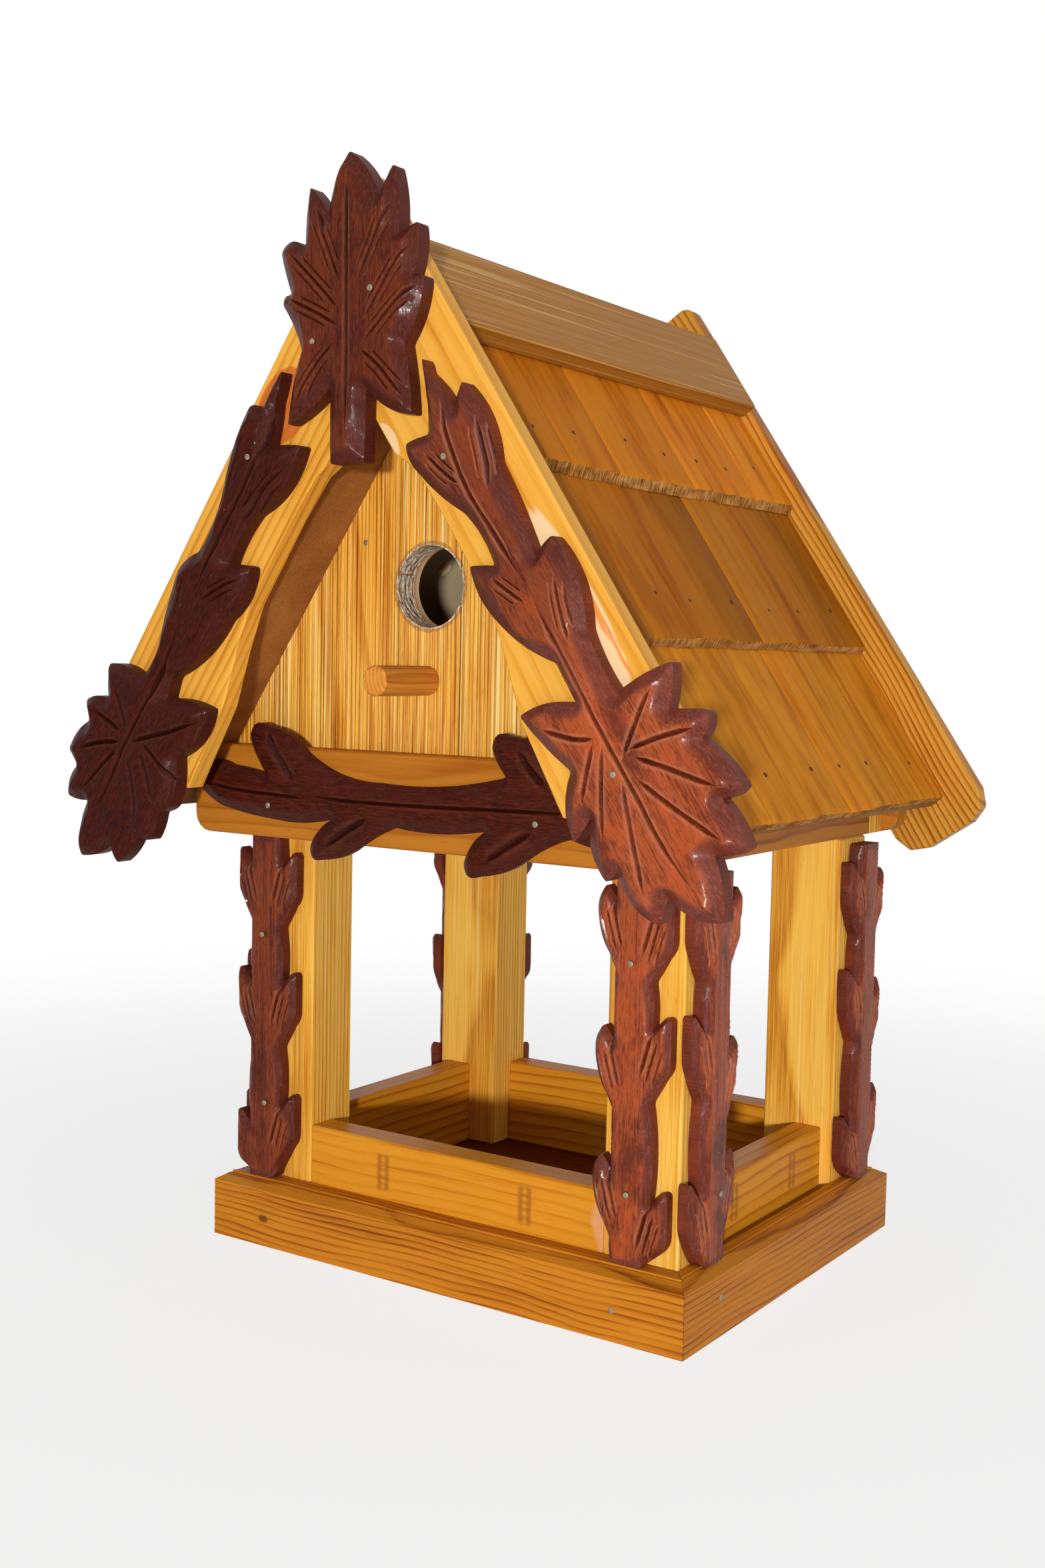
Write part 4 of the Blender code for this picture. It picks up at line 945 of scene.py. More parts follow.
def carve_leaves(settings):
    """The crown leaf and the two leaves that hang from their vines on the bargeboards."""
    half, deep, width = settings.sizes.carving()
    for name, outline, lines, fans, side, grain, dark in LEAVES:
        turn = -1.0 if side < 0 else 1.0
        outline = [(u, v, turn * bulge) for u, v, bulge in outline]
        cuts = cuts_along(lines, fans, half, deep)
        carving = Carving(outline, cuts, CARVING_THICK, width, CARVING_THICK * 0.42)

        def place(u, v, height, side=side):
            x, z = on_slope(side, u, v) if side else (u, RIDGE_Z + v)
            return x, CARVING_BACK_Y - height, z

        fade = FADE_S - RIDGE_Z * SLOPE_SIN if side > 0 else 0.0
        face = stained(f"{name}_face", grain, settings.colours, dark, fade)
        sawn = sawn_side(f"{name}_side", settings.colours, dark)
        carving.build(name, place, 3.0 + side, [face, sawn])


def carve_beam_branch(settings):
    """The long leafless branch along the front beam."""
    half, deep, width = settings.sizes.carving()
    cuts = [Cut(line, half * 0.9, deep * 0.9) for line in BEAM_BRANCH_LINES]
    cuts += [Cut(line, half * 1.6, deep * 1.1) for line in BEAM_BRANCH_GROOVES]
    thick = BEAM_BRANCH_THICK
    carving = Carving(BEAM_BRANCH_OUTLINE, cuts, thick, width * 0.9, thick * 0.55)

    def place(u, v, height):
        return u, BEAM_BRANCH_BACK_Y - height, BEAM_LOW_Z + v

    face = stained("beam_branch_face", ALONG_X, settings.colours, BEAM_BRANCH_DARK)
    sawn = sawn_side("beam_branch_side", settings.colours, BEAM_BRANCH_DARK)
    carving.build("beam_branch", place, 5.0, [face, sawn])


def lobe(squared, tip, stem, reach):
    """One lobe of a post branch, upwards: out from the stem, to its tip, into the notch."""
    if squared:
        shape = (
            (stem, -47.0, 0.03),
            (reach * 0.84, -33.0, 0.04),
            (reach, -25.0, 0.01),
            (reach, -1.5, 0.1),
            (reach - 2.5, 0.0, 0.0),
            (stem + 1.0, -9.0, 0.05),
        )
    else:
        shape = (
            (stem - 1.0, -49.0, -0.03),
            (reach * 0.74, -35.0, 0.04),
            (reach * 0.95, -23.0, 0.04),
            (reach, -11.0, 0.06),
            (reach * 0.87, -3.0, 0.1),
            (reach * 0.74, 0.0, 0.0),
            (stem - 1.0, -10.0, 0.05),
        )
    low = BRANCH_FOOT_Z + 2.0
    return [(u, max(tip + v, low + 0.4 * i), bulge) for i, (u, v, bulge) in enumerate(shape)]


def branch_plate(left_tips, right_tips, stem, reach, squared_left):
    """The clockwise outline of a post branch and the gouge cuts of its lobes."""
    outline = [(-stem * 0.8, BRANCH_FOOT_Z, 0.0)]
    cuts = []
    for tips, side, squared in ((left_tips, -1, squared_left), (right_tips, 1, True)):
        run = []
        for height in tips:
            tip = BRANCH_FOOT_Z + height
            run += [(side * u, v, bulge) for u, v, bulge in lobe(squared, tip, stem, reach)]
            if height < LOBE_CUTS_LOW:
                continue
            for k in range(3):
                start = (side * (reach - 3.0 - 3.6 * k), tip - 15.0 + 3.0 * k)
                end = (side * (stem + 1.6 - 3.4 * k), tip - LOBE_CUTS_LOW + 3.0 * k)
                cuts.append(Cut((start, end), 1.0 + 0.2 * k, 1.3 + 0.4 * k))
        if side < 0:
            outline += run
        else:
            outline += [(-stem, BRANCH_TOP_Z, 0.0), (stem, BRANCH_TOP_Z, 0.0)]
            bulges = [bulge for _, _, bulge in run[1:]] + [0.0]
            outline += [(u, v, bulge) for (u, v, _), bulge in list(zip(run, bulges))[::-1]]
    outline.append((stem * 0.8, BRANCH_FOOT_Z, 0.0))
    return outline, cuts


def carve_post_branches(settings):
    """The eight branches that climb the outer faces of the posts."""
    for corner, dark in BRANCH_DARK.items():
        row, column = corner.split("_")
        x_sign = -1 if column == "left" else 1
        y_sign = -1 if row == "front" else 1
        worn = stained(f"branch_face_{corner}", ALONG_Z, settings.colours, dark)
        sawn = sawn_side(f"branch_edge_{corner}", settings.colours, dark)
        middle_x = x_sign * POST_MID_X + BRANCH_SHIFTS[corner][0]
        middle_y = y_sign * POST_MID_Y + BRANCH_SHIFTS[corner][1]

        def on_face(u, v, height, middle=middle_x, sign=y_sign):
            return middle + u, sign * (POST_FACE_Y + height), v

        def on_side(u, v, height, middle=middle_y, sign=x_sign):
            return sign * (POST_FACE_X + height), middle + u, v

        for name, tips, stem, place in (
            (f"branch_{row}_face_{column}", FACE_LOBES[corner], FACE_STEM, on_face),
            (f"branch_{column}_side_{row}", SIDE_LOBES[corner], SIDE_STEM, on_side),
        ):
            outline, cuts = branch_plate(*tips, *stem, name != ROUNDED_BRANCH)
            foot = (0.0, BRANCH_FOOT_Z - STEM_PAST_END)
            head = (0.0, BRANCH_TOP_Z + STEM_PAST_END)
            rib = (foot, head, stem[0] + 0.5, STEM_LOW, POST_BRANCH_THICK)
            thick = POST_BRANCH_THICK - PLATE_UNDER_STEM
            edge = (PLATE_EDGE_WIDTH, PLATE_EDGE_DROP)
            plate = Carving(outline, cuts, thick, *edge, PLATE_STEP, rib)
            plate.build(name, place, len(name) * 1.7, [worn, sawn])


def stained(name, grain, colours, dark, fade=0.0):
    """Red-brown stain under gloss varnish, darker towards worn edges, with painted shade in the cuts, a
    painted highlight along their lips and painted glints on the edges.

    dark is the share of the deepest stain. Where fade is given, the wood is about as dark
    above that place along the grain and clears below it.
    """
    wood = Wood(name, grain)
    wood.grow((11.0, -262.0), 5.0, 7.0, 0.2, 1.0, 0.45)
    deep = tuple(colours.stain_deep)
    stops = ((0.12, tuple(colours.stain_pale)), (0.42, STAIN_MIDDLE), (0.8, deep))
    colour = wood.ramp(wood.tone, stops)
    cloud = wood.texture(0.03, 0.06, 0.06, 4.0, 0.6)
    colour = wood.mix(wood.step(cloud, 0.5, 0.64, 0.0, 0.75), colour, STAIN_GLOW)
    speck = wood.texture(0.16, 0.9, 0.9, 4.0, 0.65)
    colour = wood.mix(wood.step(speck, 0.5, 0.68, 0.0, 0.55), colour, deep)
    share = dark
    if fade:
        share = wood.step(wood.along + cloud * 60.0, fade, fade + FADE_LENGTH, 0.55, 0.0)
    pool = wood.texture(0.018, 0.035, 0.035, 3.0, 0.6)
    colour = wood.mix(wood.step(pool + (speck - 0.5) * 0.4, 0.48, 0.68, 0.0, 0.8), colour, deep)
    darkest = wood.mix(wood.step(speck, 0.35, 0.6), STAIN_DARK_RED, STAIN_DARKEST)
    colour = wood.mix(share, colour, darkest)

    near_edge = wood.step(wood.attribute("rim") + (cloud - 0.5) * 0.5, 0.0, 0.45)
    # Painted glints: paler specks on the worn edge stand in for light caught by raised fibres
    worn = wood.mix(wood.step(speck, 0.45, 0.62), tuple(colours.stain_edge), RAISED_FIBRE_GLINT)
    edge_share = share * 0.55 if fade else dark * 0.6
    colour = wood.mix(near_edge * 0.8, colour, wood.mix(edge_share, worn, STAIN_DARKEST))

    cut = wood.attribute("cut")
    # Painted highlight: a pale line along the lips of each cut, where a glossy groove's edge catches
    # the light
    lip = wood.step(cut, 0.28, 0.45) * wood.step(cut, 0.6, 1.2, 1.0, 0.0)
    colour = wood.mix(lip * (0.34 - 0.32 * dark), colour, LIP_HIGHLIGHT_PAINT)
    # Painted shade: the bottom of each cut is darkened to stand in for the shade in the groove
    hollow = wood.step(cut, 0.7, 1.8)
    colour = wood.mix(hollow * 0.62, colour, CUT_SHADE_PAINT)

    roughness = (wood.fibres - 0.5) * 0.3 + 0.4 - hollow * 0.12
    height = wood.fibres * 0.7 + wood.texture(0.7, 1.5, 1.5, 2.0, 0.6) * 0.7
    sparkle = wood.step(wood.texture(0.45, 1.1, 1.1, 2.0, 0.7), 0.58, 0.7) + hollow * 0.4
    clear = 1.0 - wood.step(share, 0.0, 1.0) if fade else 1.0 - dark
    coat = sparkle * (0.25 + 0.65 * clear) + 0.01 + 0.12 * clear
    return wood.close(colour, roughness, height, 0.35, coat, 0.2, 0.12 - 0.09 * dark)


def sawn_side(name, colours, dark):
    """The stained edge of a carving, with level marks of the saw and paler raised fibres."""
    wood = Wood(name, ALONG_Z)
    marks = wood.noise(wood.combine(0.0, 0.0, wood.position(UP) * 1.1))
    cloud = wood.texture(0.06, 0.08, 0.08, 3.0)
    share = wood.step(marks * 0.6 + cloud * 0.6, 0.35, 0.85)
    colour = wood.mix(share, tuple(colours.stain_edge), STAIN_SAWN)
    colour = wood.mix(dark * 0.7, colour, STAIN_DARKEST)
    return wood.close(colour, 0.5 + marks * 0.1, marks, 0.2, 0.05, 0.3, 0.12)


# Roof slats

SLAT_WIDTH = 44.0
LEAST_LAST_SLAT = 18.0
SEAM_HALF_GAP = 0.14
SEAM_EASE = 0.7
SEAM_EASE_WIDTH = 1.8
SLAT_COLUMN = 3.0
SLAT_LEAST_COLUMNS = 6
SLAT_START_GAP = 0.15
SLAT_SHARP_ANGLE = 35.0
SEEN_SEAMS = {(3, 1): (-128.0, -71.0, -14.0, 32.0, 66.0, 118.0)}
COURSE_TINTS = {1: (1.16, 0.88, 0.42), 2: (0.7, 0.55, 0.26), 3: (1.04, 0.9, 0.46)}
COURSE_END_SLANT = {1: 4.0, 2: 2.2, 3: 0.8}
SLAT_TONES = (srgb(218, 154, 66), srgb(208, 140, 52), srgb(188, 118, 40), srgb(150, 90, 30))
SLAT_LOOK = {
    "board": True,
    "late": 0.3,
    "cloud": 0.7,
    "fibre": 0.35,
    "wander": 30.0,
    "rough": 0.5,
    "relief": 0.08,
    "coat": 0.0,
    "shine": 0.02,
    "pores": 0.78,
}
TORN_STOPS = ((0.0, srgb(98, 60, 26)), (0.45, srgb(168, 112, 52)), (1.0, srgb(216, 160, 92)))

# The last rows of a slat's face, as distances from its lower end, and how far each drops
SLAT_STATIONS = ((12.0, 0.0), (4.0, 0.0), (1.2, 0.15), (0.0, 0.9))
FIRST_RAGGED = 3


def slat_edges(number, side):
    """Where the slats of one course meet, as distances along Y."""
    if (number, side) in SEEN_SEAMS:
        return [ROOF_FRONT_Y, *SEEN_SEAMS[number, side], ROOF_BACK_Y]
    chance = random.Random(number * 10 + side)
    edges = [ROOF_FRONT_Y]
    while edges[-1] < ROOF_BACK_Y - SLAT_WIDTH * 1.5:
        edges.append(edges[-1] + SLAT_WIDTH * chance.uniform(0.82, 1.18))
    if edges[-1] >= ROOF_BACK_Y - LEAST_LAST_SLAT:
        edges.pop()
    return [*edges, ROOF_BACK_Y]


def slat(bm, tint, side, y0, y1, top, bottom, s0, s1, chance, rough, slant):
    """One tapering board with eased seams and a rough lower end."""
    board = bm.verts.layers.float["board"]
    skew = chance.uniform(-1.0, 1.0)
    seed = chance.uniform(0.0, 90.0)
    width = y1 - y0
    across = max(SLAT_LEAST_COLUMNS, round(width / SLAT_COLUMN))
    shares = [i / across for i in range(across + 1)]

    def ripple(y, scale, place):
        return noise.noise(Vector((y * scale, seed, place)))

    def add_row(points):
        row = []
        for y, s, n in points:
            x, z = on_slope(side, s, n)
            vert = bm.verts.new(Vector((x, y, z)) * MM)
            vert[board] = tint
            row.append(vert)
        return row

    rows = []
    stations = [(s0, 0.0), ((s0 + s1) / 2.0, 0.0)]
    stations += [(s1 - before, drop) for before, drop in SLAT_STATIONS]
    for level, (at, drop) in enumerate(stations):
        last = level == len(stations) - 1
        points = []
        for t in shares:
            y = y0 + width * t
            near_seam = max(0.0, 1.0 - min(t, 1.0 - t) * width / SEAM_EASE_WIDTH)
            s = at
            n = top - SEAM_EASE * near_seam**2 - drop
            if level >= FIRST_RAGGED:
                ragged = ripple(y, 0.45, 0.0) * rough + ripple(y, 1.6, 4.0) * rough * 0.5
                s += min(skew * (t - 0.5) + ragged - rough, 0.0) - slant
            if last:
                n -= 0.3 * ripple(y, 0.8, 8.0)
            points.append((y, s, n))
        rows.append(add_row(points))
    lip = rows[-1]
    ys = [y0 + width * t for t in shares]
    torn = [(y, s1 - rough + min(ripple(y, 0.5, 12.0) * rough, 0.0), bottom) for y in ys]
    rows.append(add_row(torn))
    rows.append(add_row([(y, s0, bottom) for y in ys]))
    for here, there in zip(rows, [*rows[1:], rows[0]]):
        for i in range(across):
            face = bm.faces.new((here[i], here[i + 1], there[i + 1], there[i]))
            face.material_index = 1 if here is lip else 0
    for column in (0, -1):
        bm.faces.new([row[column] for row in rows])


def lay_slats(settings):
    """Three lapped courses of narrow boards a side, each board with its own grain."""
    rough = settings.sizes.slat_end_roughness / MM
    aged = tuple(settings.colours.slat_aged)
    for side, side_name, grain in ((-1, "left", LEFT_SLATS), (1, "right", RIGHT_SLATS)):
        ends = rough_ends(f"slat_end_{side_name}")
        for number, low in COURSE_LOW_N.items():
            face_name = f"slat_face_{number}_{side_name}"
            tones = tinted_tones(SLAT_TONES, COURSE_TINTS[number])
            wood = timber(face_name, grain, tones, (14.0, 160.0), 9.0, aged=aged, **SLAT_LOOK)
            chance = random.Random(number * 7 + side)
            bm = bmesh.new()
            bm.verts.layers.float.new("board")
            start = (SLAT_START_GAP - low * SLOPE_SIN) / SLOPE_COS
            edges = slat_edges(number, side)
            for y0, y1 in zip(edges, edges[1:]):
                top = low + SLAT_THICK - chance.uniform(0.0, 0.5)
                last = COURSE_END_S[number] - chance.uniform(0.0, 1.6)
                tint = chance.random()
                place = (y0 + SEAM_HALF_GAP, y1 - SEAM_HALF_GAP, top, low, start, last)
                slat(bm, tint, side, *place, chance, rough, COURSE_END_SLANT[number])
            course = f"{number}_{side_name}"
            pair = [wood, ends]
            node = f"roof_course_{course}"
            add_piece(f"slats_{course}", bm, pair, node, SLAT_SHARP_ANGLE)


def tinted_tones(tones, tint):
    return [tuple(channel * share for channel, share in zip(tone, tint)) for tone in tones]


def rough_ends(name):
    """Sawn slat ends: pale torn fibres in short upright ridges."""
    wood = Wood(name, ALONG_Y)
    ridges = wood.texture(0.9, 0.12, 0.12, 3.0)
    share = wood.step(ridges * 0.7 + wood.texture(0.05, 0.2, 0.2) * 0.5, 0.35, 0.85)
    return wood.close(wood.ramp(share, TORN_STOPS), 0.75, ridges, 1.4, 0.0, 0.2, 0.05)


# Nails

NAIL_SIDES = 12
NAIL_PROFILE = ((1.0, -0.3), (1.0, 0.12), (0.86, 0.3), (0.5, 0.42), (0.2, 0.38))
ZINC = srgb(150, 142, 122)
IRON = srgb(62, 48, 38)
RUST = srgb(92, 58, 36)

# Nail heads seen in the front and on the right side, as (x, y, z) on the face they are in
FRONT_NAILS = (
    (-23.8, -214.5, 519.3), (13.9, -214.5, 542.8), (162.6, -214.5, 305.8),
    (-68.3, -214.5, 462.7), (61.6, -214.5, 456.8), (-94.2, -167.6, 272.4),
    (88.9, -167.6, 274.2), (-133.9, -128.0, 189.0), (-130.4, -128.4, 86.0),
    (124.4, -128.4, 201.0), (125.1, -128.6, 78.0), (121.6, -134.8, 16.8),
    (-45.6, -142.0, 421.7),
)
RIGHT_NAILS = ((POST_FACE_X + 12.4, -93.0, 77.0), (BASE_FACE_X, -93.6, 21.4))


def nail_head(bm, centre, outward, radius):
    """A small domed head with a worn rim, standing proud of the wood."""
    outward = Vector(outward).normalized()
    side = outward.orthogonal().normalized()
    other = outward.cross(side)
    rings = []
    for share, height in NAIL_PROFILE:
        ring = []
        for k in range(NAIL_SIDES):
            turn = math.tau * k / NAIL_SIDES
            spoke = side * math.cos(turn) + other * math.sin(turn)
            point = Vector(centre) + spoke * (radius * share) + outward * height
            ring.append(bm.verts.new(point * MM))
        rings.append(ring)
    for here, there in zip(rings, rings[1:]):
        for k in range(NAIL_SIDES):
            j = (k + 1) % NAIL_SIDES
            bm.faces.new((here[k], here[j], there[j], there[k]))
    bm.faces.new(rings[0])
    bm.faces.new(rings[-1])


def drive_nails(settings):
    """Zinc heads in the carvings and base, and dark iron heads in the slats."""
    radius = settings.sizes.nail_radius / MM
    bm = bmesh.new()
    for centres, outward in ((FRONT_NAILS, TO_FRONT), (RIGHT_NAILS, TO_RIGHT)):
        for centre in centres:
            nail_head(bm, centre, outward, radius)
    add_piece("trim_nails", bm, [metal("zinc_nail", ZINC, 0.45)])

    bm = bmesh.new()
    for side in (-1, 1):
        for number, low in COURSE_LOW_N.items():
            chance = random.Random(number + side * 3)
            edges = slat_edges(number, side)
            for y0, y1 in zip(edges, edges[1:]):
                y = y0 + (y1 - y0) * chance.uniform(0.35, 0.65)
                s = COURSE_END_S[number] - chance.uniform(26.0, 34.0)
                x, z = on_slope(side, s, low + SLAT_THICK - 0.3)
                nail_head(bm, (x, y, z), (side * SLOPE_SIN, 0.0, SLOPE_COS), radius * 0.85)
    add_piece("slat_nails", bm, [metal("dark_nail", IRON, 0.6)])


def metal(name, colour, roughness):
    """Dull metal with specks of rust."""
    head = Finish(name)
    cloud = head.cloud(0.9, 3.0)
    rust = head.step(cloud, 0.5, 0.7)
    head.shader.inputs["Metallic"].default_value = 0.6
    tone = head.mix(rust * 0.6, colour, RUST)
    return head.close(tone, roughness + rust * 0.2, cloud, 0.05)


# Finishes of the pieces that keep their CAD shape

PINE = (srgb(244, 192, 85), srgb(232, 170, 62), srgb(212, 143, 44), srgb(171, 101, 27))
PLANKS = (srgb(241, 186, 78), srgb(221, 155, 48), srgb(203, 130, 33), srgb(159, 91, 22))
BEAM = (srgb(186, 117, 36), srgb(175, 106, 29), srgb(158, 88, 20), srgb(132, 68, 15))
RAIL = (srgb(220, 148, 40), srgb(210, 135, 29), srgb(186, 107, 22), srgb(145, 76, 14))
BASE = (srgb(202, 130, 34), srgb(188, 113, 26), srgb(156, 86, 18), srgb(106, 54, 12))
RIDGE = (srgb(176, 119, 41), srgb(164, 105, 32), srgb(146, 86, 23), srgb(117, 67, 17))
FRONT_BOARD = (srgb(232, 172, 72), srgb(222, 155, 54), srgb(206, 135, 41), srgb(176, 105, 30))
REAR_BOARD = (srgb(214, 157, 64), srgb(197, 131, 42), srgb(168, 98, 26), srgb(127, 67, 16))
PEG = (srgb(216, 146, 60), srgb(200, 126, 46), srgb(180, 104, 36), srgb(146, 80, 26))
LINING = (srgb(226, 190, 150), srgb(214, 172, 130), srgb(198, 150, 106), srgb(176, 126, 84))
FLOOR = (srgb(111, 46, 12), srgb(98, 39, 10), srgb(82, 31, 9), srgb(59, 20, 6))

BASE_LOOK = {"late": 0.52, "fibre": 0.65, "cloud": 0.5, "relief": 0.25, "wander": 13.0}
RAIL_LOOK = {"late": 0.55, "wander": 12.0, "rough": 0.42}
FRONT_RAIL_MARKS = rail_marks(FRONT_RAIL_SCORCHES, *OUT_OF_FRONT_RAIL, FRONT_RAIL_PALE_X)
FRONT_RAIL_LOOK = {**RAIL_LOOK, "late": 0.32, "marks": FRONT_RAIL_MARKS}
RIGHT_RAIL_MARKS = rail_marks(RIGHT_RAIL_SCORCHES, *OUT_OF_RIGHT_RAIL)
# Where streaks are given, the bright streaks are partly pale resin and partly painted highlight lines
POST_LOOK = {"late": 0.6, "fibre": 0.75, "wander": 5.0, "relief": 0.3, "streaks": 0.5}
PLANK_LOOK = {"planks": True, "late": 0.5, "fibre": 0.65, "relief": 0.45, "ridge": 0.4, "streaks": 0.85}
FRONT_PLANK_LOOK = {**PLANK_LOOK, "marks": hole_rim, "coat": 0.35, "rough": 0.38, "relief": 0.6}
LINING_LOOK = {"coat": 0.0, "rough": 0.6}
BEAM_LOOK = {"late": 0.45, "fibre": 0.35, "wander": 16.0, "relief": 0.1, "rough": 0.5}
RIDGE_LOOK = {
    "late": 0.25,
    "fibre": 0.6,
    "relief": 0.2,
    "wander": 3.0,
    "streaks": 0.5,
    # Streak colour, partly pale resin and partly painted highlight lines
    "bright": srgb(224, 184, 122),
    "shine": 0.08,
    "coat": 0.0,
}
BOARD_LOOK = {"late": 0.35, "fibre": 0.3, "cloud": 0.5, "wander": 12.0, "relief": 0.1}
LEFT_BOARD_LOOK = {**BOARD_LOOK, "marks": stain_run, "late": 0.6, "wander": 6.0}
RIGHT_BOARD_LOOK = {**BOARD_LOOK, "marks": board_runs}
REAR_LOOK = {"late": 0.7, "fibre": 0.4, "wander": 16.0, "relief": 0.3}

# Each board: its name, grain, tones from early to late wood, the place of the tree's heart
# across and behind its face, the width of a growth ring, and its look
BOARDS = (
    ("base_front", ALONG_X, BASE, (-180.0, -40.0), 2.9, {**BASE_LOOK, "marks": knot}),
    ("base_back", ALONG_X, BASE, (-180.0, 40.0), 2.9, BASE_LOOK),
    ("base_left", ALONG_Y, BASE, (-180.0, 20.0), 2.9, BASE_LOOK),
    ("base_right", ALONG_Y, BASE, (-190.0, -20.0), 2.9, BASE_LOOK),
    ("tray_floor", ALONG_X, FLOOR, (20.0, 300.0), 6.0, {}),
    ("rail_front", ALONG_X, RAIL, (-110.0, -30.0), 5.0, FRONT_RAIL_LOOK),
    ("rail_back", ALONG_X, RAIL, (-100.0, 36.0), 5.0, RAIL_LOOK),
    ("rail_left", ALONG_Y, RAIL, (-120.0, 30.0), 5.0, RAIL_LOOK),
    ("rail_right", ALONG_Y, RAIL, (-110.0, -28.0), 5.0, {**RAIL_LOOK, "marks": RIGHT_RAIL_MARKS}),
    ("post_front_left", ALONG_Z, PINE, (-105.0, 230.0), 3.4, POST_LOOK),
    ("post_front_right", ALONG_Z, PINE, (105.0, 230.0), 3.4, {**POST_LOOK, "shift": 61.0}),
    ("post_back_left", ALONG_Z, PINE, (-105.0, -230.0), 3.4, {**POST_LOOK, "shift": 122.0}),
    ("post_back_right", ALONG_Z, PINE, (105.0, -230.0), 3.4, {**POST_LOOK, "shift": 183.0}),
    ("gable_front", ALONG_Z, PLANKS, (4.0, 90.0), 3.6, FRONT_PLANK_LOOK),
    ("gable_back", ALONG_Z, PLANKS, (9.0, 90.0), 3.6, PLANK_LOOK),
    ("gable_lining", ALONG_Z, LINING, (0.0, 60.0), 4.5, LINING_LOOK),
    ("beam_front", ALONG_X, BEAM, (310.0, 215.0), 6.5, BEAM_LOOK),
    ("beam_back", ALONG_X, BEAM, (300.0, -210.0), 6.5, BEAM_LOOK),
    ("side_beam_left", ALONG_Y, BEAM, (330.0, 20.0), 5.0, {"wander": 12.0}),
    ("side_beam_right", ALONG_Y, BEAM, (330.0, 20.0), 5.0, {"wander": 12.0}),
    ("perch", ALONG_Y, PEG, (352.0, 30.0), 2.6, {"late": 0.5}),
    ("ridge_board_left", LEFT_RIDGE, RIDGE, (30.0, 190.0), 5.2, RIDGE_LOOK),
    ("ridge_board_right", RIGHT_RIDGE, RIDGE, (30.0, 190.0), 5.2, RIDGE_LOOK),
    ("bargeboard_front_left", LEFT_BOARD, FRONT_BOARD, (-150.0, 240.0), 4.2, LEFT_BOARD_LOOK),
    ("bargeboard_front_right", RIGHT_BOARD, FRONT_BOARD, (-150.0, -240.0), 7.0, RIGHT_BOARD_LOOK),
    ("bargeboard_rear_left", LEFT_BOARD, REAR_BOARD, (-48.0, 172.0), 4.2, REAR_LOOK),
    ("bargeboard_rear_right", RIGHT_BOARD, REAR_BOARD, (-48.0, -172.0), 4.2, REAR_LOOK),
)
PANELS = ("roof_deck_left", "roof_deck_right", "nest_floor")
PANEL_STOPS = ((0.0, srgb(118, 70, 32)), (0.5, srgb(148, 94, 44)), (1.0, srgb(172, 116, 60)))
RAW_BOARD = srgb(238, 214, 170)


def fibreboard(name):
    """Pressed board: oiled brown with short fibres, and bare and pale in the nest box."""
    board = Finish(name)
    fine = board.cloud(1.1, 4.0, 0.7)
    share = board.step(fine * 0.7 + board.cloud(0.03, 3.0) * 0.5, 0.35, 0.85)
    off = abs(board.position(TO_BACK))
    indoors = board.step(off, NEST_HALF_DEPTH, NEST_HALF_DEPTH + 1.0, 1.0, 0.0)
    roof = board.step(board.position(UP), NEST_ROOF_LOW_Z, NEST_ROOF_LOW_Z + 1.0)
    colour = board.mix(indoors * roof * 0.9, board.ramp(share, PANEL_STOPS), RAW_BOARD)
    return board.close(colour, 0.62, fine, 0.12)


def finish_frame(settings):
    """Gives every piece that keeps its CAD shape its own grain and varnish."""
    tint = tuple(settings.colours.varnish_tint)
    for name, grain, tones, heart, ring, look in BOARDS:
        dress(name, timber(name, grain, tinted_tones(tones, tint), heart, ring, **look))
    panel = fibreboard("pressed_board")
    for name in PANELS:
        dress(name, panel)


def dress(name, material):
    """Replaces all of a CAD piece's materials with this one."""
    mesh = nodes[name].data
    mesh.materials.clear()
    mesh.materials.append(material)


# Stage

CAMERA_PLACE = (574.8, -901.5, 358.8)
CAMERA_YAW = 0.5925
CAMERA_PITCH = -0.0725
CAMERA_ROLL = 0.0199
CAMERA_LENS = 59.55
CAMERA_SENSOR = 36.0

# In metres: places and sizes of the lamps, what they aim at, half the floor's side, and
# the distances between which the floor's own light grows
KEY_PLACE = (1.22, -2.28, 0.36)
KEY_SIZE = 0.14
KEY_COLOUR = (1.0, 0.98, 0.95)
FILL_PLACE = (2.3, -0.9, 2.1)
FILL_SIZE = 1.6
FILL_COLOUR = (0.98, 0.99, 1.0)
LAMP_TARGET = (0.0, 0.0, 0.3)
FLOOR_HALF = 5.0
GLOW_NEAR = 0.3
GLOW_FAR = 1.2
GLOW_LEAST = 0.76
WHITE = (1.0, 1.0, 1.0)


def set_camera():
    """The camera that took the photograph, as calibrated."""
    yaw, pitch, roll = CAMERA_YAW, CAMERA_PITCH, CAMERA_ROLL
    level = Vector((math.cos(yaw), math.sin(yaw), 0.0))
    ahead = Vector((-math.sin(yaw), math.cos(yaw), 0.0))
    forward = ahead * math.cos(pitch) + Vector(UP) * math.sin(pitch)
    upright = level.cross(forward)
    right = math.cos(roll) * level + math.sin(roll) * upright
    up = -math.sin(roll) * level + math.cos(roll) * upright
    data = bpy.data.cameras.new("camera")
    data.lens = CAMERA_LENS
    data.sensor_width = CAMERA_SENSOR
    data.sensor_fit = "HORIZONTAL"
    data.clip_start = 0.01
    camera = bpy.data.objects.new("camera", data)
    turn = Matrix((right, up, -forward)).transposed().to_4x4()
    camera.matrix_world = Matrix.Translation(Vector(CAMERA_PLACE) * MM) @ turn
    bpy.context.scene.collection.objects.link(camera)
    bpy.context.scene.camera = camera


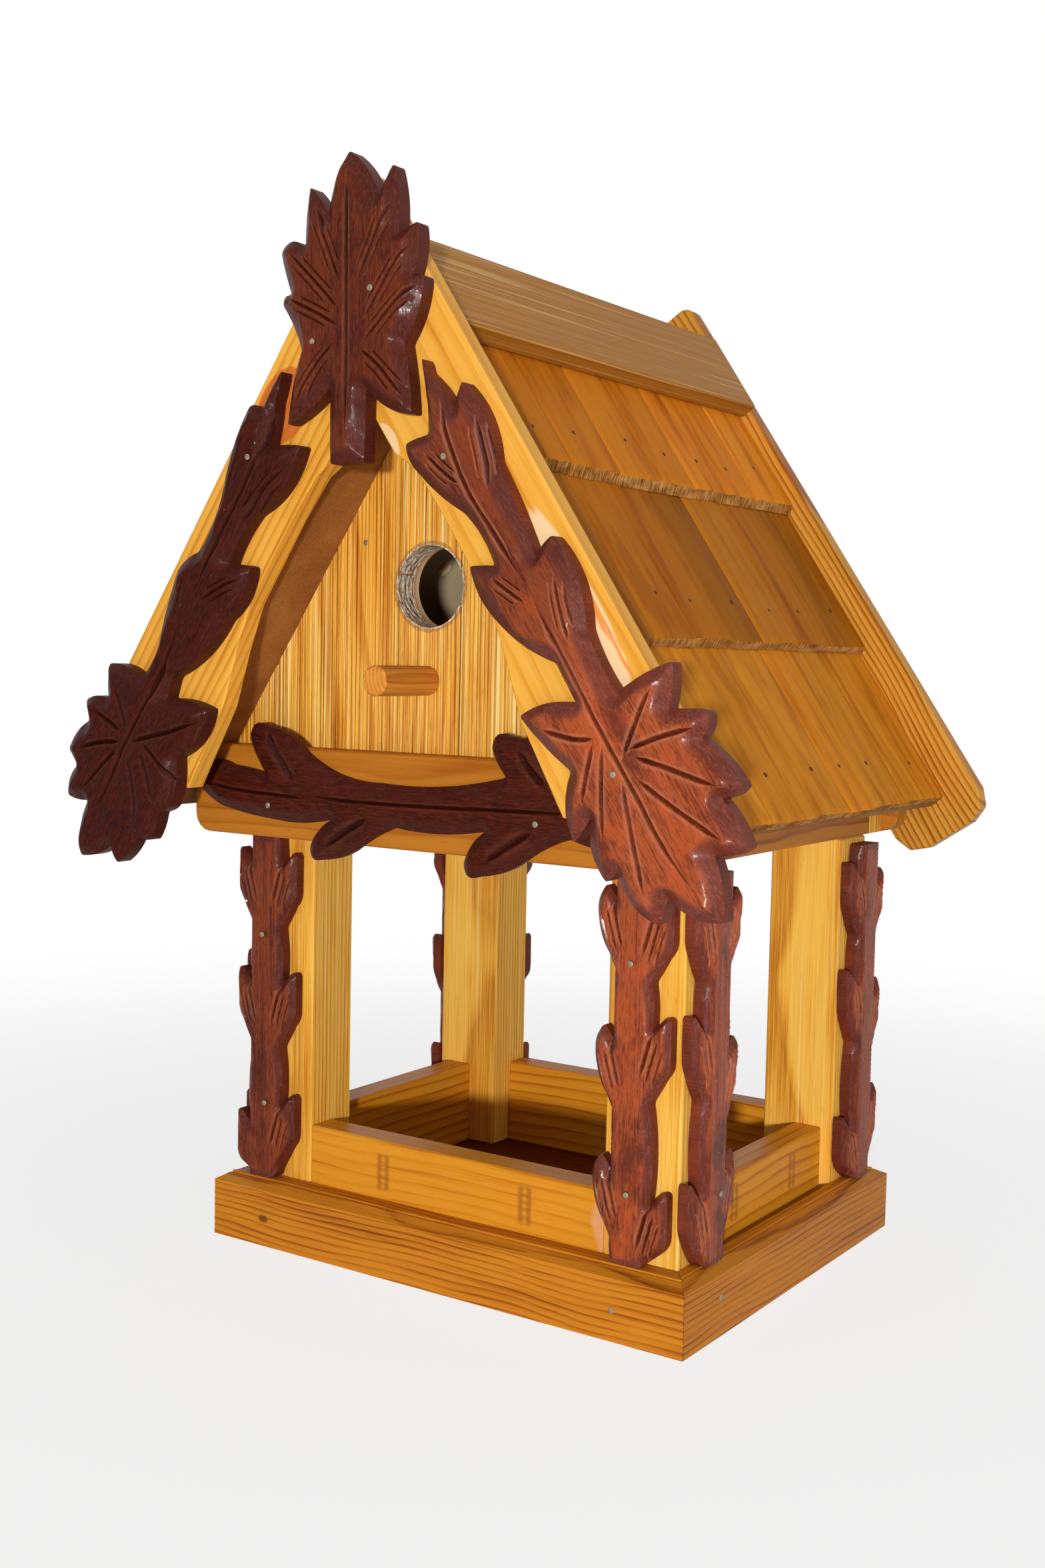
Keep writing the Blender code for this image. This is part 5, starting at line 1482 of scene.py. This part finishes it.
def add_lamp(name, place, size, energy, colour):
    data = bpy.data.lights.new(name, "AREA")
    data.shape = "DISK"
    data.size = size
    data.energy = energy
    data.color = colour
    lamp = bpy.data.objects.new(name, data)
    lamp.location = place
    aim = Vector(LAMP_TARGET) - Vector(place)
    lamp.rotation_euler = aim.to_track_quat("-Z", "Y").to_euler()
    bpy.context.scene.collection.objects.link(lamp)


def seen_directly(finish):
    """1 for rays that show a surface as background: from the camera, mirrors and glass."""
    path = "ShaderNodeLightPath"
    seen = finish.node(path, output="Is Camera Ray")
    for kind in ("Is Glossy Ray", "Is Transmission Ray"):
        seen = finish.maths("MAXIMUM", seen, finish.node(path, output=kind))
    return seen


def lay_floor(colour):
    """A pale floor that is white far off and keeps the shadow near the birdhouse."""
    mesh = bpy.data.meshes.new("floor")
    signs = ((-1, -1), (1, -1), (1, 1), (-1, 1))
    mesh.from_pydata([(x * FLOOR_HALF, y * FLOOR_HALF, 0.0) for x, y in signs], [], [(0, 1, 2, 3)])
    floor = bpy.data.objects.new("floor", mesh)
    bpy.context.scene.collection.objects.link(floor)
    paper = Finish("floor_paper")
    paper.feed(paper.shader.inputs["Base Color"], colour)
    paper.shader.inputs["Roughness"].default_value = 0.9
    glow = paper.node("ShaderNodeEmission", {}, {"Color": WHITE, "Strength": 1.0})
    away = paper.vector("LENGTH", paper.node("ShaderNodeTexCoord", output="Object"))
    share = seen_directly(paper) * paper.step(away, GLOW_NEAR, GLOW_FAR, GLOW_LEAST, 1.0)
    lit = Socket(paper, paper.shader.outputs[0])
    both = paper.node("ShaderNodeMixShader", {}, {0: share, 1: lit, 2: glow})
    paper.feed(paper.tree.nodes["Material Output"].inputs["Surface"], both)
    mesh.materials.append(paper.material)


def set_stage(settings):
    """White floor and backdrop, soft lamps and the camera."""
    set_camera()
    lay_floor(tuple(settings.colours.floor_colour))
    sizes = settings.sizes
    world = bpy.data.worlds.new("backdrop")
    bpy.context.scene.world = world
    world.use_nodes = True
    sky = Finish.__new__(Finish)
    sky.tree = world.node_tree
    shade = sky.mix(seen_directly(sky), (sizes.ambient_level,) * 3, WHITE)
    sky.feed(sky.tree.nodes["Background"].inputs["Color"], shade)
    add_lamp("key", KEY_PLACE, KEY_SIZE, sizes.key_power, KEY_COLOUR)
    add_lamp("fill", FILL_PLACE, FILL_SIZE, sizes.fill_power, FILL_COLOUR)
    bpy.context.scene.view_settings.view_transform = "Standard"


# The add-on


def amount(name, description, default, most=None, unit="LENGTH"):
    """A property for a length in metres, a power in watts or a plain level."""
    limits = {} if most is None else {"max": most}
    return FloatProperty(
        name=name, description=description, default=default, min=0.0, unit=unit, **limits
    )


def hue(name, description, default):
    """A property for a colour, in linear values."""
    return FloatVectorProperty(
        name=name, description=description, default=default, subtype="COLOR", min=0.0, max=1.0
    )


class BirdhouseSizes(bpy.types.PropertyGroup):
    """Sizes of the carving, the slats and the nails, and the lamps' levels."""

    edge_width: amount("Carved edge", "Width of the worked edge round each carving", 0.0078, 0.02)
    gouge_half_width: amount("Gouge half width", "Half the width of a vein's cut", 0.0015, 0.005)
    gouge_depth: amount("Gouge depth", "Depth of a vein's cut", 0.0021, 0.005)
    slat_end_roughness: amount(
        "Slat end roughness", "How far the sawn ends of the roof slats are torn", 0.0009, 0.003
    )
    nail_radius: amount("Nail radius", "Radius of the nail heads in the trim", 0.0017, 0.004)
    key_power: amount("Key lamp", "Power of the main lamp in watts", 48.0, unit="POWER")
    fill_power: amount("Fill lamp", "Power of the lamp over the right side", 10.0, unit="POWER")
    ambient_level: amount(
        "Ambient level", "Brightness of the light from all round", 0.3, 1.0, unit="NONE"
    )

    def carving(self):
        """Half the width and the depth of a cut, and the width of a worked edge."""
        return self.gouge_half_width / MM, self.gouge_depth / MM, self.edge_width / MM


class BirdhouseColours(bpy.types.PropertyGroup):
    """Colours of the stain, the varnish, the aged slats and the floor."""

    stain_pale: hue(
        "Stain, pale wood", "The stain where the wood under it is pale", srgb(160, 74, 34)
    )
    stain_deep: hue("Stain, dark wood", "The stain over dark fibres", srgb(78, 24, 12))
    stain_edge: hue(
        "Stain, worked edge", "The stain where it gathered on worked edges", srgb(80, 33, 27)
    )
    varnish_tint: hue(
        "Varnish tint", "What the varnish multiplies the bare timber's colour by", WHITE
    )
    slat_aged: hue(
        "Aged slats", "What age multiplies the darker slats' colour by", (0.7, 0.6, 0.42)
    )
    floor_colour: hue("Floor", "The pale floor under the birdhouse", (0.88, 0.88, 0.88))


class BirdhouseSettings(bpy.types.PropertyGroup):
    """Everything about the birdhouse's looks that a user would change."""

    sizes: PointerProperty(type=BirdhouseSizes)
    colours: PointerProperty(type=BirdhouseColours)


class BIRDHOUSE_OT_stage(bpy.types.Operator):
    """Set the floor, the backdrop, the lamps and the camera"""

    bl_idname = "birdhouse.stage"
    bl_label = "Stage"

    def execute(self, context):
        set_stage(context.scene.birdhouse)
        return {"FINISHED"}


class BIRDHOUSE_OT_finishes(bpy.types.Operator):
    """Give the boards, posts, rails and panels their grain and varnish"""

    bl_idname = "birdhouse.finishes"
    bl_label = "Board finishes"

    def execute(self, context):
        finish_frame(context.scene.birdhouse)
        return {"FINISHED"}


class BIRDHOUSE_OT_leaves(bpy.types.Operator):
    """Carve the crown leaf and the two hanging leaves with their vines"""

    bl_idname = "birdhouse.leaves"
    bl_label = "Carved leaves"

    def execute(self, context):
        carve_leaves(context.scene.birdhouse)
        return {"FINISHED"}


class BIRDHOUSE_OT_beam_branch(bpy.types.Operator):
    """Carve the branch along the front beam"""

    bl_idname = "birdhouse.beam_branch"
    bl_label = "Beam branch"

    def execute(self, context):
        carve_beam_branch(context.scene.birdhouse)
        return {"FINISHED"}


class BIRDHOUSE_OT_post_branches(bpy.types.Operator):
    """Carve the eight branches on the posts"""

    bl_idname = "birdhouse.post_branches"
    bl_label = "Post branches"

    def execute(self, context):
        carve_post_branches(context.scene.birdhouse)
        return {"FINISHED"}


class BIRDHOUSE_OT_slats(bpy.types.Operator):
    """Lay the roof's lapped courses of slats"""

    bl_idname = "birdhouse.slats"
    bl_label = "Roof slats"

    def execute(self, context):
        lay_slats(context.scene.birdhouse)
        return {"FINISHED"}


class BIRDHOUSE_OT_nails(bpy.types.Operator):
    """Drive the nails in the trim, the base and the slats"""

    bl_idname = "birdhouse.nails"
    bl_label = "Nails"

    def execute(self, context):
        drive_nails(context.scene.birdhouse)
        return {"FINISHED"}


OPERATORS = (
    BIRDHOUSE_OT_stage,
    BIRDHOUSE_OT_finishes,
    BIRDHOUSE_OT_leaves,
    BIRDHOUSE_OT_beam_branch,
    BIRDHOUSE_OT_post_branches,
    BIRDHOUSE_OT_slats,
    BIRDHOUSE_OT_nails,
)


class BIRDHOUSE_PT_panel(bpy.types.Panel):
    """Lists the birdhouse's pieces, sizes and colours"""

    bl_idname = "BIRDHOUSE_PT_panel"
    bl_label = "Birdhouse"
    bl_space_type = "VIEW_3D"
    bl_region_type = "UI"
    bl_category = "Birdhouse"

    def draw(self, context):
        layout = self.layout
        layout.use_property_split = True
        for operator in OPERATORS:
            layout.operator(operator.bl_idname)
        settings = context.scene.birdhouse
        for group in (settings.sizes, settings.colours):
            box = layout.box()
            for name in group.bl_rna.properties.keys():
                if name not in ("rna_type", "name"):
                    box.prop(group, name)


CLASSES = (BirdhouseSizes, BirdhouseColours, BirdhouseSettings, *OPERATORS, BIRDHOUSE_PT_panel)


def register():
    for item in CLASSES:
        bpy.utils.register_class(item)
    bpy.types.Scene.birdhouse = PointerProperty(type=BirdhouseSettings)


def unregister():
    del bpy.types.Scene.birdhouse
    for item in reversed(CLASSES):
        bpy.utils.unregister_class(item)


def main():
    register()
    for operator in OPERATORS:
        family, action = operator.bl_idname.split(".")
        getattr(getattr(bpy.ops, family), action)()


if __name__ == "__main__":
    main()
